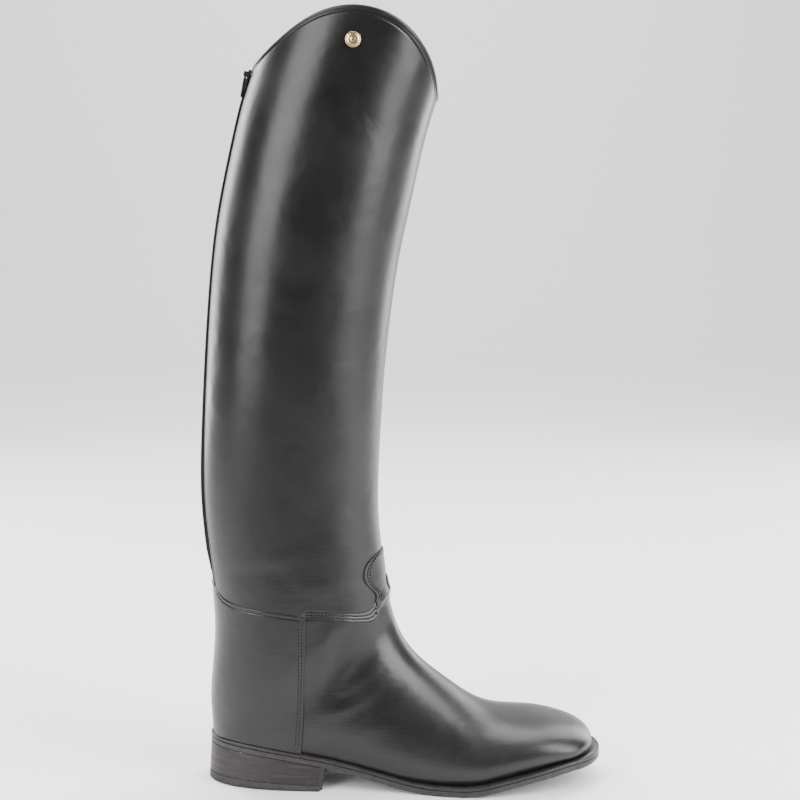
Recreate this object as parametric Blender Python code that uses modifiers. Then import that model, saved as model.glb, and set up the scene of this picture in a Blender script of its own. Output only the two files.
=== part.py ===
"""A dress riding boot for the right foot: one hollow leather upper on a welted sole with a stacked heel.

The boot stands on its heel and forefoot at z = 0. +X points to the toe, +Y to the inner side of the
foot, and the origin is on the floor under the middle of the heel. The shaft opens with a zip that runs
up the back, a little to the outer side, beside a raised leather strip.

The upper's surface is worked out from sections. Each section lies in a plane across the boot, from a
low point on the feather line or the back of the boot to a high point on the ridge, which is the toe,
the instep and the front of the shaft. All lengths are in metres.
"""

import math

import bmesh
import bpy
import numpy as np
from mathutils import Matrix, Vector

# Driving sizes of the last and the shaft
SOLE_LENGTH = 0.285
BALL_WIDTH = 0.093
ANKLE_HEIGHT = 0.146
BOOT_HEIGHT = 0.545
SHAFT_DEPTH = 0.126
CALF_WIDTH = 0.110
HEEL_HEIGHT = 0.0275
TOE_SPRING = 0.0160

# Leather, sole and fitting thicknesses
WALL = 0.0020
SHAFT_STEP = 0.0008
OVERLAY = 0.0013
TONGUE_LEATHER = 0.0010
BINDING = 0.0009
BINDING_DEPTH = 0.0045
OUTSOLE = 0.0044
WELT = 0.0024
INSOLE = 0.0030
GAP = 0.0003

# How far the sole stands out from the upper's lower edge
TOE_MARGIN = 0.0055
WAIST_MARGIN = 0.0030
SEAT_MARGIN = 0.0028

# Heel block
BREAST_AT = 0.087
BREAST_SKEW = 0.0030
BREAST_HOLLOW = 0.0025
BREAST_LEAN = 0.0030
HEEL_FLARE = 0.0018
HEEL_REST_AT = 0.044

# Zip at the back, measured across from the middle of the boot; the outer side is negative
ZIP_MIDDLE = -0.0075
ZIP_SLOT = 0.0112
ZIP_BOTTOM = 0.991 * ANKLE_HEIGHT
ZIP_TOP_DROP = 0.006
TAPE_WIDTH = 0.021
TAPE = 0.0007
CHAIN_WIDTH = 0.0060
CHAIN = 0.0022
STRIP_WIDTH = 0.0165
STRIP = 0.0016
STRIP_BOTTOM = 1.082 * ANKLE_HEIGHT
END_STOP = 0.0032

# Slider and pull tab of the zip
SLIDER_DROP = 0.0068
SLIDER_LENGTH = 0.0110
SLIDER_WIDTH = 0.0088
SLIDER_THICKNESS = 0.0014
PIN_UP = 0.0022
EAR_WIDTH = 0.0013
EAR_LENGTH = 0.0036
PIN_RADIUS = 0.0006
EYE_CLEARANCE = 0.0002
EYE_WALL = 0.0006
TAB_LENGTH = 0.016
TAB_WIDTH = 0.0066
TAB_THICKNESS = 0.0012
TAB_LEAN = 6.0

# Collar stud and ankle tab
STUD_RADIUS = 0.0052
STUD_HEIGHT = 0.0022
STUD_AT = 0.865 * SHAFT_DEPTH
STUD_LEVEL = 0.9596 * BOOT_HEIGHT
ANKLE_TAB_LEVEL = 0.993 * ANKLE_HEIGHT
ANKLE_TAB_HEIGHT = 0.012
ANKLE_TAB_WIDTH = 0.008
ANKLE_TAB = 0.0008

# Mesh fineness
SIDE_COLUMNS = 15
ROW_SEATS = (152, 149.5, 147, 143, 138, 131, 123, 115, 107.2, 100.9, 92, 83, 74, 65, 56, 47, 38, 30, 22, 14.5, 7, 0)
ANKLE_ROWS = 6
SHAFT_ROWS = 14
DENSE = 81

# The feather line, where the upper meets the sole, seen from above:
# along as a share of its length from the heel, outer and inner half widths as shares of BALL_WIDTH
FEATHER = (
    # along, outer, inner
    (0.00, 0.000, 0.000),
    (0.03, 0.166, 0.162),
    (0.09, 0.257, 0.250),
    (0.17, 0.308, 0.293),
    (0.28, 0.331, 0.294),
    (0.40, 0.355, 0.274),
    (0.52, 0.398, 0.301),
    (0.64, 0.450, 0.385),
    (0.72, 0.460, 0.425),
    (0.80, 0.435, 0.419),
    (0.88, 0.371, 0.374),
    (0.94, 0.290, 0.305),
    (0.98, 0.184, 0.200),
    (1.00, 0.000, 0.000),
)

# The sole's underside: along as a share of SOLE_LENGTH, and height as a share of HEEL_HEIGHT
WAIST_CURVE = (
    # along, share of HEEL_HEIGHT
    (0.00, 1.00),
    (0.08, 0.93),
    (0.16, 0.84),
    (0.24, 0.715),
    (0.30, 0.605),
    (0.36, 0.465),
    (0.42, 0.305),
    (0.48, 0.145),
    (0.53, 0.045),
    (0.58, 0.00),
)
# In front of the flat spot: along as a share of SOLE_LENGTH, and height as a share of TOE_SPRING
TOE_CURVE = (
    # along, share of TOE_SPRING
    (0.65, 0.00),
    (0.69, 0.085),
    (0.73, 0.25),
    (0.77, 0.42),
    (0.84, 0.67),
    (0.91, 0.88),
    (0.96, 0.97),
    (1.00, 1.00),
)

# Foot sections, from the toe back to the heel's corner. Seat is the angle round the feather line, 180 at
# the toe tip and 0 at the heel's back. Ridge along is a share of SOLE_LENGTH and height of ANKLE_HEIGHT.
# Bulges are how far the sides stand out past the feather line, as shares of BALL_WIDTH, and lean is the
# ridge's shift to the inner side. Widest is the share of the way up where the section is widest. Full is
# the roundness below and above that: 2 is an ellipse and more is squarer.
FOOT_SECTIONS = (
    # seat, ridge along, ridge height, outer bulge, inner bulge, lean, widest, full below, full above
    (152, 0.9807, 0.160, 0.000, 0.000, 0.000, 0.02, 2.00, 1.45),
    (147, 0.9790, 0.206, 0.010, 0.010, 0.005, 0.22, 2.00, 1.90),
    (141, 0.9610, 0.250, 0.022, 0.022, 0.010, 0.30, 2.00, 2.30),
    (133, 0.9140, 0.293, 0.032, 0.032, 0.018, 0.33, 2.00, 2.35),
    (121, 0.8290, 0.330, 0.040, 0.038, 0.030, 0.32, 2.00, 2.25),
    (107, 0.7200, 0.357, 0.046, 0.044, 0.042, 0.29, 2.00, 2.10),
    (90, 0.6180, 0.474, 0.046, 0.058, 0.040, 0.26, 2.00, 2.00),
    (71, 0.5440, 0.592, 0.040, 0.078, 0.030, 0.28, 2.00, 1.98),
    (52, 0.4980, 0.708, 0.046, 0.068, 0.018, 0.36, 2.02, 1.98),
    (34, 0.4750, 0.815, 0.092, 0.092, 0.010, 0.46, 2.05, 1.98),
    (17, 0.4620, 0.910, 0.230, 0.225, 0.004, 0.53, 2.10, 1.98),
    (0, 0.4510, 1.000, 0.396, 0.387, 0.000, 0.56, 2.12, 1.98),
)

# Shaft sections, upwards from just above the heel's corner. Along values are shares of SHAFT_DEPTH from
# the heel's back and half widths shares of CALF_WIDTH. Heights are shares of ANKLE_HEIGHT up to 1, and
# 1 to 2 runs from there to the collar's peak.
SHAFT_SECTIONS = (
    # back along, back height, ridge along, ridge height, outer, inner, widest, full behind, full in front
    (0.033, 0.305, 1.011, 1.022, 0.341, 0.335, 0.56, 2.12, 1.98),
    (0.028, 0.425, 1.001, 1.047, 0.348, 0.342, 0.55, 2.12, 1.98),
    (0.043, 0.589, 0.993, 1.073, 0.356, 0.351, 0.53, 2.12, 2.00),
    (0.058, 0.767, 0.985, 1.100, 0.364, 0.358, 0.51, 2.12, 2.02),
    (0.050, 0.945, 0.979, 1.133, 0.371, 0.365, 0.50, 2.12, 2.04),
    (0.027, 1.050, 0.978, 1.170, 0.380, 0.375, 0.49, 2.12, 2.06),
    (0.001, 1.148, 0.984, 1.226, 0.400, 0.395, 0.48, 2.12, 2.08),
    (0.007, 1.261, 0.996, 1.301, 0.436, 0.427, 0.47, 2.12, 2.10),
    (0.030, 1.386, 1.018, 1.393, 0.464, 0.455, 0.46, 2.12, 2.10),
    (0.062, 1.516, 1.054, 1.494, 0.486, 0.477, 0.455, 2.12, 2.10),
    (0.110, 1.642, 1.105, 1.596, 0.500, 0.491, 0.455, 2.12, 2.10),
    (0.185, 1.757, 1.173, 1.694, 0.505, 0.495, 0.46, 2.12, 2.10),
    (0.270, 1.862, 1.244, 1.792, 0.505, 0.495, 0.47, 2.12, 2.10),
    (0.379, 1.962, 1.339, 1.887, 0.500, 0.491, 0.48, 2.12, 2.10),
    (0.482, 2.052, 1.434, 1.977, 0.498, 0.489, 0.48, 2.12, 2.10),
)

# The collar's edge round each side, from the back to the front: turn is the share of the way round,
# and the heights are shares of BOOT_HEIGHT
COLLAR = (
    # turn, outer height, inner height
    (0.00, 0.930, 0.930),
    (0.07, 0.934, 0.929),
    (0.14, 0.946, 0.927),
    (0.21, 0.963, 0.924),
    (0.28, 0.981, 0.921),
    (0.35, 0.994, 0.917),
    (0.42, 1.000, 0.914),
    (0.48, 1.000, 0.911),
    (0.54, 0.996, 0.908),
    (0.61, 0.987, 0.905),
    (0.68, 0.973, 0.902),
    (0.75, 0.955, 0.900),
    (0.81, 0.938, 0.898),
    (0.87, 0.920, 0.897),
    (0.93, 0.904, 0.896),
    (1.00, 0.896, 0.896),
)

# The shaft's lower edge seen from the side: along is a share of SHAFT_DEPTH and height of ANKLE_HEIGHT
SHAFT_EDGE = (
    # along, height
    (-0.10, 0.985),
    (0.060, 0.984),
    (0.082, 0.976),
    (0.109, 0.957),
    (0.159, 0.942),
    (0.215, 0.932),
    (0.322, 0.921),
    (0.440, 0.906),
    (0.520, 0.889),
    (0.584, 0.867),
    (0.660, 0.849),
    (0.770, 0.836),
    (0.860, 0.828),
    (0.920, 0.824),
    (0.952, 0.836),
    (0.980, 0.872),
    (1.006, 0.920),
    (1.030, 0.935),
    (1.200, 0.940),
)

# The counter's front edge seen from the side: along is a share of SHAFT_DEPTH and height of ANKLE_HEIGHT
COUNTER_EDGE = (
    # along, height
    (0.545, 0.10),
    (0.558, 0.30),
    (0.570, 0.50),
    (0.580, 0.75),
    (0.584, 1.05),
)

# The vamp's tongue on the front of the ankle, seen from in front
TONGUE = (
    # height as a share of ANKLE_HEIGHT and on up the shaft, half width as a share of SHAFT_DEPTH
    (0.925, 0.150),
    (0.960, 0.145),
    (0.990, 0.165),
    (1.008, 0.190),
    (1.024, 0.200),
    (1.040, 0.188),
    (1.052, 0.150),
    (1.059, 0.090),
    (1.062, 0.020),
)


def spline(places, values):
    """A natural cubic spline through values at places, as a function."""
    xs = np.asarray(places, dtype=float)
    ys = np.asarray(values, dtype=float)
    count = len(xs)
    step = np.diff(xs)
    matrix = np.eye(count)
    right = np.zeros(count)
    for i in range(1, count - 1):
        matrix[i, i - 1] = step[i - 1]
        matrix[i, i] = 2 * (step[i - 1] + step[i])
        matrix[i, i + 1] = step[i]
        right[i] = 6 * ((ys[i + 1] - ys[i]) / step[i] - (ys[i] - ys[i - 1]) / step[i - 1])
    bend = np.linalg.solve(matrix, right)

    def at(place):
        x = np.clip(np.asarray(place, dtype=float), xs[0], xs[-1])
        i = np.clip(np.searchsorted(xs, x, side="right") - 1, 0, count - 2)
        h = step[i]
        a = (xs[i + 1] - x) / h
        b = (x - xs[i]) / h
        curve = (a**3 - a) * bend[i] + (b**3 - b) * bend[i + 1]
        return a * ys[i] + b * ys[i + 1] + curve * h * h / 6

    return at


def steady(places, values):
    """A cubic curve through values at places that never swings past them, as a function."""
    xs = np.asarray(places, dtype=float)
    ys = np.asarray(values, dtype=float)
    step = np.diff(xs)
    slope = np.diff(ys) / step
    tangent = np.zeros(len(xs))
    for i in range(1, len(xs) - 1):
        if slope[i - 1] * slope[i] > 0:
            tangent[i] = 2 * slope[i - 1] * slope[i] / (slope[i - 1] + slope[i])
    tangent[0] = slope[0]
    tangent[-1] = slope[-1]

    def at(place):
        x = np.clip(np.asarray(place, dtype=float), xs[0], xs[-1])
        i = np.clip(np.searchsorted(xs, x, side="right") - 1, 0, len(xs) - 2)
        h = step[i]
        u = (x - xs[i]) / h
        value = ys[i] * (1 + 2 * u) * (1 - u) ** 2 + ys[i + 1] * u * u * (3 - 2 * u)
        return value + h * (tangent[i] * u * (1 - u) ** 2 - tangent[i + 1] * u * u * (1 - u))

    return at


def level(share):
    """A height given as a share of ANKLE_HEIGHT up to 1, and from there to 2 at the collar's peak."""
    share = np.asarray(share, dtype=float)
    return np.where(share <= 1, share * ANKLE_HEIGHT, ANKLE_HEIGHT + (share - 1) * (BOOT_HEIGHT - ANKLE_HEIGHT))


FEATHER_BACK = HEEL_FLARE + SEAT_MARGIN
FEATHER_FRONT = SOLE_LENGTH - TOE_MARGIN
FEATHER_LENGTH = FEATHER_FRONT - FEATHER_BACK

_waist = np.array(WAIST_CURVE)
_toe = np.array(TOE_CURVE)
_waist_curve = steady(_waist[:, 0], _waist[:, 1])
_toe_curve = steady(_toe[:, 0], _toe[:, 1])


def underside(x):
    """Height of the outsole's underside at x from the heel's back."""
    share = np.asarray(x, dtype=float) / SOLE_LENGTH
    back = _waist_curve(share) * HEEL_HEIGHT
    front = _toe_curve(share) * TOE_SPRING
    return np.where(share <= _waist[-1, 0], back, np.where(share < _toe[0, 0], 0.0, front))


def feather_height(x):
    """Height of the upper's lower edge at x."""
    return underside(x) + OUTSOLE + WELT + 2 * GAP


_feather = np.array(FEATHER)
_feather_angle = np.arccos(1 - 2 * _feather[:, 0])
_feather_outer = spline(_feather_angle, _feather[:, 1] * BALL_WIDTH)
_feather_inner = spline(_feather_angle, _feather[:, 2] * BALL_WIDTH)


def feather_along(angle):
    """x of the feather line at an angle round it, in radians."""
    return FEATHER_BACK + FEATHER_LENGTH * (1 - np.cos(angle)) / 2


_foot = np.array(FOOT_SECTIONS)
_shaft = np.array(SHAFT_SECTIONS)
_corner = len(_foot) - 1
_seat = np.radians(_foot[:, 0])
_ridge_x = np.concatenate([_foot[:, 1] * SOLE_LENGTH, _shaft[:, 2] * SHAFT_DEPTH])
_ridge_z = np.concatenate([_foot[:, 2] * ANKLE_HEIGHT, level(_shaft[:, 3])])
_ridge_x[0] = FEATHER_FRONT
_ridge_z[0] = feather_height(FEATHER_FRONT)
_base_x = np.concatenate([feather_along(_seat), _shaft[:, 0] * SHAFT_DEPTH])
_base_z = np.concatenate([feather_height(feather_along(_seat)), level(_shaft[:, 1])])
_hops = (np.hypot(np.diff(_ridge_x), np.diff(_ridge_z)) + np.hypot(np.diff(_base_x), np.diff(_base_z))) / 2
ROUTE = np.concatenate([[0.0], np.cumsum(_hops)])
ROUTE_CORNER = ROUTE[_corner]
ROUTE_END = ROUTE[-1]

_foot_lip_outer = _feather_outer(_seat)
_foot_lip_inner = _feather_inner(_seat)
_wide_outer = np.concatenate([_foot_lip_outer + _foot[:, 3] * BALL_WIDTH, _shaft[:, 4] * CALF_WIDTH])
_wide_inner = np.concatenate([_foot_lip_inner + _foot[:, 4] * BALL_WIDTH, _shaft[:, 5] * CALF_WIDTH])
_seat_at = spline(ROUTE[: _corner + 1], _seat)
_bulge_outer_at = spline(ROUTE[: _corner + 1], _foot[:, 3] * BALL_WIDTH)
_bulge_inner_at = spline(ROUTE[: _corner + 1], _foot[:, 4] * BALL_WIDTH)
_back_x_at = spline(ROUTE[_corner:], _base_x[_corner:])
_back_z_at = spline(ROUTE[_corner:], _base_z[_corner:])
_ridge_x_at = spline(ROUTE, _ridge_x)
_ridge_z_at = spline(ROUTE, _ridge_z)
_wide_outer_at = spline(ROUTE, _wide_outer)
_wide_inner_at = spline(ROUTE, _wide_inner)
_lean_at = steady(ROUTE, np.concatenate([_foot[:, 5] * BALL_WIDTH, np.zeros(len(_shaft))]))
_widest_at = spline(ROUTE, np.concatenate([_foot[:, 6], _shaft[:, 6]]))
_below_at = steady(ROUTE, np.concatenate([_foot[:, 7], _shaft[:, 7]]))
_above_at = steady(ROUTE, np.concatenate([_foot[:, 8], _shaft[:, 8]]))


def surface(route, turn, side):
    """Points of the upper's surface.

    Route is the distance along the sections from the toe. Turn is the share of the way round one side,
    0 at the feather line or the back and 1 at the ridge. Side is -1 for the outer and 1 for the inner.
    """
    route = np.clip(np.atleast_1d(np.asarray(route, dtype=float)), 0.0, ROUTE_END)
    turn = np.broadcast_to(np.asarray(turn, dtype=float), route.shape)
    side = np.broadcast_to(np.asarray(side, dtype=float), route.shape)
    on_foot = route < ROUTE_CORNER
    angle = np.where(on_foot, np.maximum(_seat_at(np.minimum(route, ROUTE_CORNER)), 0.0), 0.0)
    base_x = np.where(on_foot, feather_along(angle), _back_x_at(np.maximum(route, ROUTE_CORNER)))
    base_z = np.where(on_foot, feather_height(base_x), _back_z_at(np.maximum(route, ROUTE_CORNER)))
    outer = side < 0
    lip = np.where(on_foot, np.where(outer, _feather_outer(angle), _feather_inner(angle)), 0.0)
    bulge = np.where(outer, _bulge_outer_at(np.minimum(route, ROUTE_CORNER)),
                     _bulge_inner_at(np.minimum(route, ROUTE_CORNER)))
    wide_far = np.where(outer, _wide_outer_at(route), _wide_inner_at(route))
    mix = np.clip((route - ROUTE[5]) / (ROUTE[7] - ROUTE[5]), 0, 1)
    mix = mix * mix * (3 - 2 * mix)
    wide = (1 - mix) * (lip + np.maximum(bulge, 0.0)) + mix * np.maximum(wide_far, lip)
    soft = np.clip(angle / math.radians(45), 0, 1)
    power = 1 + soft * soft * (3 - 2 * soft)
    across_x = _ridge_x_at(route) - base_x
    across_z = _ridge_z_at(route) - base_z
    reach = np.hypot(across_x, across_z)
    widest = np.clip(_widest_at(route), 0.02, 0.9)
    quarter = np.linspace(0, math.pi / 2, DENSE)
    low_y = lip[:, None] + (wide - lip)[:, None] * np.sin(quarter)[None, :] ** power[:, None]
    low_up = widest[:, None] * (1 - np.cos(quarter)[None, :].clip(0) ** (2 / _below_at(route))[:, None])
    high_y = wide[:, None] * np.cos(quarter)[None, :].clip(0)
    rise = np.sin(quarter)[None, :] ** (2 / _above_at(route))[:, None]
    high_up = widest[:, None] + (1 - widest)[:, None] * rise
    y = np.concatenate([low_y, high_y[:, 1:]], axis=1)
    up = np.concatenate([low_up, high_up[:, 1:]], axis=1)
    run = np.hypot(np.diff(y, axis=1), np.diff(up, axis=1) * reach[:, None])
    run = np.concatenate([np.zeros((len(route), 1)), np.cumsum(run, axis=1)], axis=1)
    lean = _lean_at(route)
    points = np.zeros((len(route), 3))
    for i in range(len(route)):
        goal = turn[i] * run[i, -1]
        share = np.interp(goal, run[i], up[i])
        points[i, 0] = base_x[i] + across_x[i] * share
        points[i, 1] = side[i] * np.interp(goal, run[i], y[i]) + lean[i] * share * share
        points[i, 2] = base_z[i] + across_z[i] * share
    return points


def crossing(turn, side, height_of, start):
    """The route past start at which the surface rises through the height that height_of gives for x."""
    routes = np.linspace(start, ROUTE_END, 400)
    line = surface(routes, turn, side)
    above = line[:, 2] - height_of(line[:, 0])
    for i in range(len(routes) - 1):
        if above[i] < 0 <= above[i + 1]:
            share = above[i] / (above[i] - above[i + 1])
            return routes[i] + share * (routes[i + 1] - routes[i])
    return routes[-1]


for old in list(bpy.data.objects):
    bpy.data.objects.remove(old, do_unlink=True)

parts = bpy.data.collections.new("dress_riding_boot")
cutters = bpy.data.collections.new("cutters")
bpy.context.scene.collection.children.link(parts)
bpy.context.scene.collection.children.link(cutters)
cutters.hide_render = True

SHIFT = Vector((-HEEL_REST_AT, 0.0, 0.0))


def material(name, colour, rough, metal=0.0):
    made = bpy.data.materials.new(name)
    made.use_nodes = True
    shader = made.node_tree.nodes["Principled BSDF"]
    shader.inputs["Base Color"].default_value = (*colour, 1.0)
    shader.inputs["Roughness"].default_value = rough
    shader.inputs["Metallic"].default_value = metal
    made.diffuse_color = (*colour, 1.0)
    return made


def add_object(name, bm, colour=None, rough=0.5, metal=0.0):
    """Link a mesh as a part when it has a colour and as a cutter when it has none."""
    bmesh.ops.remove_doubles(bm, verts=bm.verts, dist=0.00001)
    bmesh.ops.recalc_face_normals(bm, faces=bm.faces)
    bmesh.ops.translate(bm, verts=bm.verts, vec=SHIFT)
    mesh = bpy.data.meshes.new(name)
    bm.to_mesh(mesh)
    bm.free()
    made = bpy.data.objects.new(name, mesh)
    if colour is None:
        cutters.objects.link(made)
        made.hide_render = True
        made.display_type = "WIRE"
    else:
        parts.objects.link(made)
        mesh.materials.append(material(name + "_look", colour, rough, metal))
    return made


def boolean(target, cutter, operation):
    step = target.modifiers.new(operation.lower() + "_" + cutter.name, "BOOLEAN")
    step.operation = operation
    step.solver = "EXACT"
    step.object = cutter


def prism(name, outline, axis, low, high):
    """A closed prism: outline is in x and z when axis is y, and in y and z when axis is x."""
    bm = bmesh.new()
    rings = []
    for depth in (low, high):
        ring = []
        for a, z in outline:
            place = (a, depth, z) if axis == "y" else (depth, a, z)
            ring.append(bm.verts.new(place))
        rings.append(ring)
    bm.faces.new(rings[0])
    bm.faces.new(rings[1])
    count = len(outline)
    for i in range(count):
        j = (i + 1) % count
        bm.faces.new((rings[0][i], rings[0][j], rings[1][j], rings[1][i]))
    return add_object(name, bm)


def box_outline(a_low, a_high, z_low, z_high):
    return [(a_low, z_low), (a_high, z_low), (a_high, z_high), (a_low, z_high)]


# The lattice: rows of points up the boot, and columns from the back round the outer side to the ridge
# and round the inner side to the back again
_edge = np.array(SHAFT_EDGE)
_edge_height = steady(_edge[:, 0] * SHAFT_DEPTH, _edge[:, 1] * ANKLE_HEIGHT)
_collar = np.array(COLLAR)
_collar_outer = spline(_collar[:, 0], _collar[:, 1] * BOOT_HEIGHT)
_collar_inner = spline(_collar[:, 0], _collar[:, 2] * BOOT_HEIGHT)

COLUMNS = 2 * SIDE_COLUMNS + 1
COLLAR_SEARCH = 0.34 * ANKLE_HEIGHT
FAR_BACK = 0.30 * SHAFT_DEPTH
FOOT_ROWS = len(ROW_SEATS) - 1
_fine_route = np.linspace(0, ROUTE_CORNER, 600)
_seat_routes = np.interp(-np.radians(ROW_SEATS), -_seat_at(_fine_route), _fine_route) / ROUTE_CORNER
_turns = [j / SIDE_COLUMNS for j in range(SIDE_COLUMNS + 1)]
_turns += [1 - j / SIDE_COLUMNS for j in range(1, SIDE_COLUMNS + 1)]
_sides = [-1] * (SIDE_COLUMNS + 1) + [1] * SIDE_COLUMNS

_ridge_edge = crossing(1.0, -1, _edge_height, ROUTE[8])
_routes = []
for turn, side in zip(_turns, _sides):
    collar_of = _collar_outer if side < 0 else _collar_inner
    top_height = float(collar_of(turn))
    edge_route = crossing(turn, side, _edge_height, ROUTE[7] + (ROUTE_CORNER - ROUTE[7]) * (1 - turn))
    top_route = crossing(turn, side, lambda x: 0 * x + top_height, edge_route + COLLAR_SEARCH)
    band_route = crossing(turn, side, lambda x: 0 * x + top_height - BINDING_DEPTH, edge_route + COLLAR_SEARCH)
    weight = turn**1.5
    corner_route = ROUTE_CORNER * (1 - weight) + (_ridge_edge - COLLAR_SEARCH) * weight
    column = [corner_route * share for share in _seat_routes]
    column += [corner_route + (edge_route - corner_route) * k / ANKLE_ROWS for k in range(1, ANKLE_ROWS + 1)]
    first = edge_route + 0.0007
    column.append(first)
    column += [first + (band_route - first) * (k / SHAFT_ROWS) ** 1.15 for k in range(1, SHAFT_ROWS + 1)]
    column.append(top_route)
    _routes.append(column)

ROWS = len(_routes[0])
EDGE_ROW = FOOT_ROWS + ANKLE_ROWS
_route_grid = np.array(_routes).T
_flat = surface(_route_grid.ravel(), np.tile(_turns, ROWS), np.tile(_sides, ROWS))
LATTICE = _flat.reshape(ROWS, COLUMNS, 3)
LIP = np.zeros((ROWS, COLUMNS), dtype=bool)
LIP[0, :] = True
LIP[: FOOT_ROWS + 1, 0] = True
LIP[: FOOT_ROWS + 1, -1] = True
LATTICE[LIP, 2] = feather_height(LATTICE[LIP, 0])


def lattice_normals():
    """Outward direction at each lattice point, the mean of the faces round it."""
    total = np.zeros_like(LATTICE)
    corner = [LATTICE[:-1, :-1], LATTICE[:-1, 1:], LATTICE[1:, 1:], LATTICE[1:, :-1]]
    face = np.cross(corner[2] - corner[0], corner[3] - corner[1])
    face /= np.maximum(np.linalg.norm(face, axis=2, keepdims=True), 1e-12)
    total[:-1, :-1] += face
    total[:-1, 1:] += face
    total[1:, 1:] += face
    total[1:, :-1] += face
    seam = total[FOOT_ROWS:, 0] + total[FOOT_ROWS:, -1]
    total[FOOT_ROWS:, 0] = seam
    total[FOOT_ROWS:, -1] = seam
    total /= np.maximum(np.linalg.norm(total, axis=2, keepdims=True), 1e-12)
    middle = LATTICE[ROWS - 4, SIDE_COLUMNS // 2]
    if total[ROWS - 4, SIDE_COLUMNS // 2, 1] * middle[1] < 0:
        total = -total
    return total


NORMALS = lattice_normals()


def offset_grid(amount):
    """The lattice moved outwards by amount, with its lower lip kept level with the feather line."""
    grid = LATTICE + NORMALS * np.asarray(amount).reshape(-1, 1, 1)
    grid[LIP, 2] = feather_height(grid[LIP, 0])
    return grid


def shell(bm, inner, outer, wanted):
    """A closed shell between two lattices over the wanted faces."""
    made = {}

    def point(layer, grid, row, column):
        if column == COLUMNS - 1 and row >= FOOT_ROWS:
            column = 0
        key = (layer, row, column)
        if key not in made:
            made[key] = bm.verts.new(grid[row, column])
        return made[key]

    edges = {}
    for row, column in wanted:
        loop = [(row, column), (row, column + 1), (row + 1, column + 1), (row + 1, column)]
        for layer, grid in ((0, inner), (1, outer)):
            corners = []
            for r, c in loop:
                vert = point(layer, grid, r, c)
                if vert not in corners:
                    corners.append(vert)
            if not layer:
                corners.reverse()
            if len(corners) == 4:
                first = 0 if layer else 1
                bm.faces.new((corners[first], corners[first + 1], corners[first + 2]))
                bm.faces.new((corners[first + 2], corners[(first + 3) % 4], corners[first]))
            else:
                bm.faces.new(corners)
        for i in range(4):
            ends = []
            for r, c in (loop[i], loop[(i + 1) % 4]):
                ends.append((r, 0 if c == COLUMNS - 1 and r >= FOOT_ROWS else c))
            key = frozenset(ends)
            if len(key) == 2:
                edges[key] = None if key in edges else tuple(ends)
    for ends in edges.values():
        if ends:
            (r1, c1), (r2, c2) = ends
            bm.faces.new((made[(0, r1, c1)], made[(0, r2, c2)], made[(1, r2, c2)], made[(1, r1, c1)]))


def lattice_piece(name, low, high, keep, colour, rough, metal=0.0):
    """A closed shell from offset low to offset high over the lattice faces that keep accepts."""
    inner = offset_grid(np.full(ROWS, low))
    outer = offset_grid(np.full(ROWS, high))
    wanted = []
    for row in range(ROWS - 1):
        for column in range(COLUMNS - 1):
            middle = LATTICE[row : row + 2, column : column + 2].reshape(4, 3).mean(axis=0)
            if keep(row, column, middle):
                wanted.append((row, column))
    bm = bmesh.new()
    shell(bm, inner, outer, wanted)
    return add_object(name, bm, colour, rough, metal)


def near_back(middle):
    """Whether a face's middle lies in the back half of the boot, away from its widest sides."""
    return middle[0] < 0.65 * SHAFT_DEPTH and abs(middle[1]) < 0.5 * CALF_WIDTH


def on_front(middle, along):
    """Whether a face's middle lies at the front of the ankle, past a share of SHAFT_DEPTH."""
    return middle[0] > along * SHAFT_DEPTH and 0.79 * ANKLE_HEIGHT < middle[2] < 1.37 * ANKLE_HEIGHT


BLACK = (0.012, 0.012, 0.013)
RUBBER = (0.020, 0.019, 0.019)
GOLD = (0.83, 0.62, 0.30)

# Upper, with the shaft's leather standing a step above the vamp's
_steps = np.zeros(ROWS)
_steps[EDGE_ROW + 1 :] = SHAFT_STEP
_outside = offset_grid(_steps)
_inside = offset_grid(np.full(ROWS, -WALL))
bm = bmesh.new()
shell(bm, _inside, _outside, [(r, c) for r in range(ROWS - 1) for c in range(COLUMNS - 1)])
upper = add_object("upper", bm, BLACK, 0.3)

BACK_HEIGHT = COLLAR[0][1] * BOOT_HEIGHT
slot = prism("slot_cutter", box_outline(ZIP_MIDDLE - ZIP_SLOT / 2, ZIP_MIDDLE + ZIP_SLOT / 2, ZIP_BOTTOM,
                                        1.1 * BOOT_HEIGHT), "x", -FAR_BACK, 0.6 * SHAFT_DEPTH)
boolean(upper, slot, "DIFFERENCE")

# Counter over the heel
_counter = np.array(COUNTER_EDGE)
_counter_edge = [(a * SHAFT_DEPTH, h * ANKLE_HEIGHT) for a, h in COUNTER_EDGE]
_top_x = np.linspace(_counter_edge[-1][0], -0.16 * SHAFT_DEPTH, 30)
_low = -0.4 * HEEL_HEIGHT
_outline = [(-FAR_BACK, _low), (_counter_edge[0][0], _low)] + _counter_edge[:-1]
_outline += [(x, float(_edge_height(x)) - 0.0008) for x in _top_x] + [(-FAR_BACK, float(_edge_height(-FAR_BACK)) - 0.0008)]
counter = lattice_piece("counter", GAP, GAP + OVERLAY, lambda r, c, p: r < EDGE_ROW and p[0] < 0.83 * SHAFT_DEPTH, BLACK, 0.3)
boolean(counter, prism("counter_cutter", _outline, "y", -BALL_WIDTH, BALL_WIDTH), "INTERSECT")

# Vamp's tongue over the front of the ankle
_tongue_low = SHAFT_STEP + GAP
_tongue = [(w * SHAFT_DEPTH, float(level(h))) for h, w in TONGUE]
_outline = _tongue + [(-a, z) for a, z in reversed(_tongue)]
tongue = lattice_piece("vamp_tongue", _tongue_low, _tongue_low + TONGUE_LEATHER,
                       lambda r, c, p: on_front(p, 0.71), BLACK, 0.3)
boolean(tongue, prism("tongue_cutter", _outline, "x", 0.67 * SHAFT_DEPTH, 1.6 * SHAFT_DEPTH), "INTERSECT")

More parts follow.
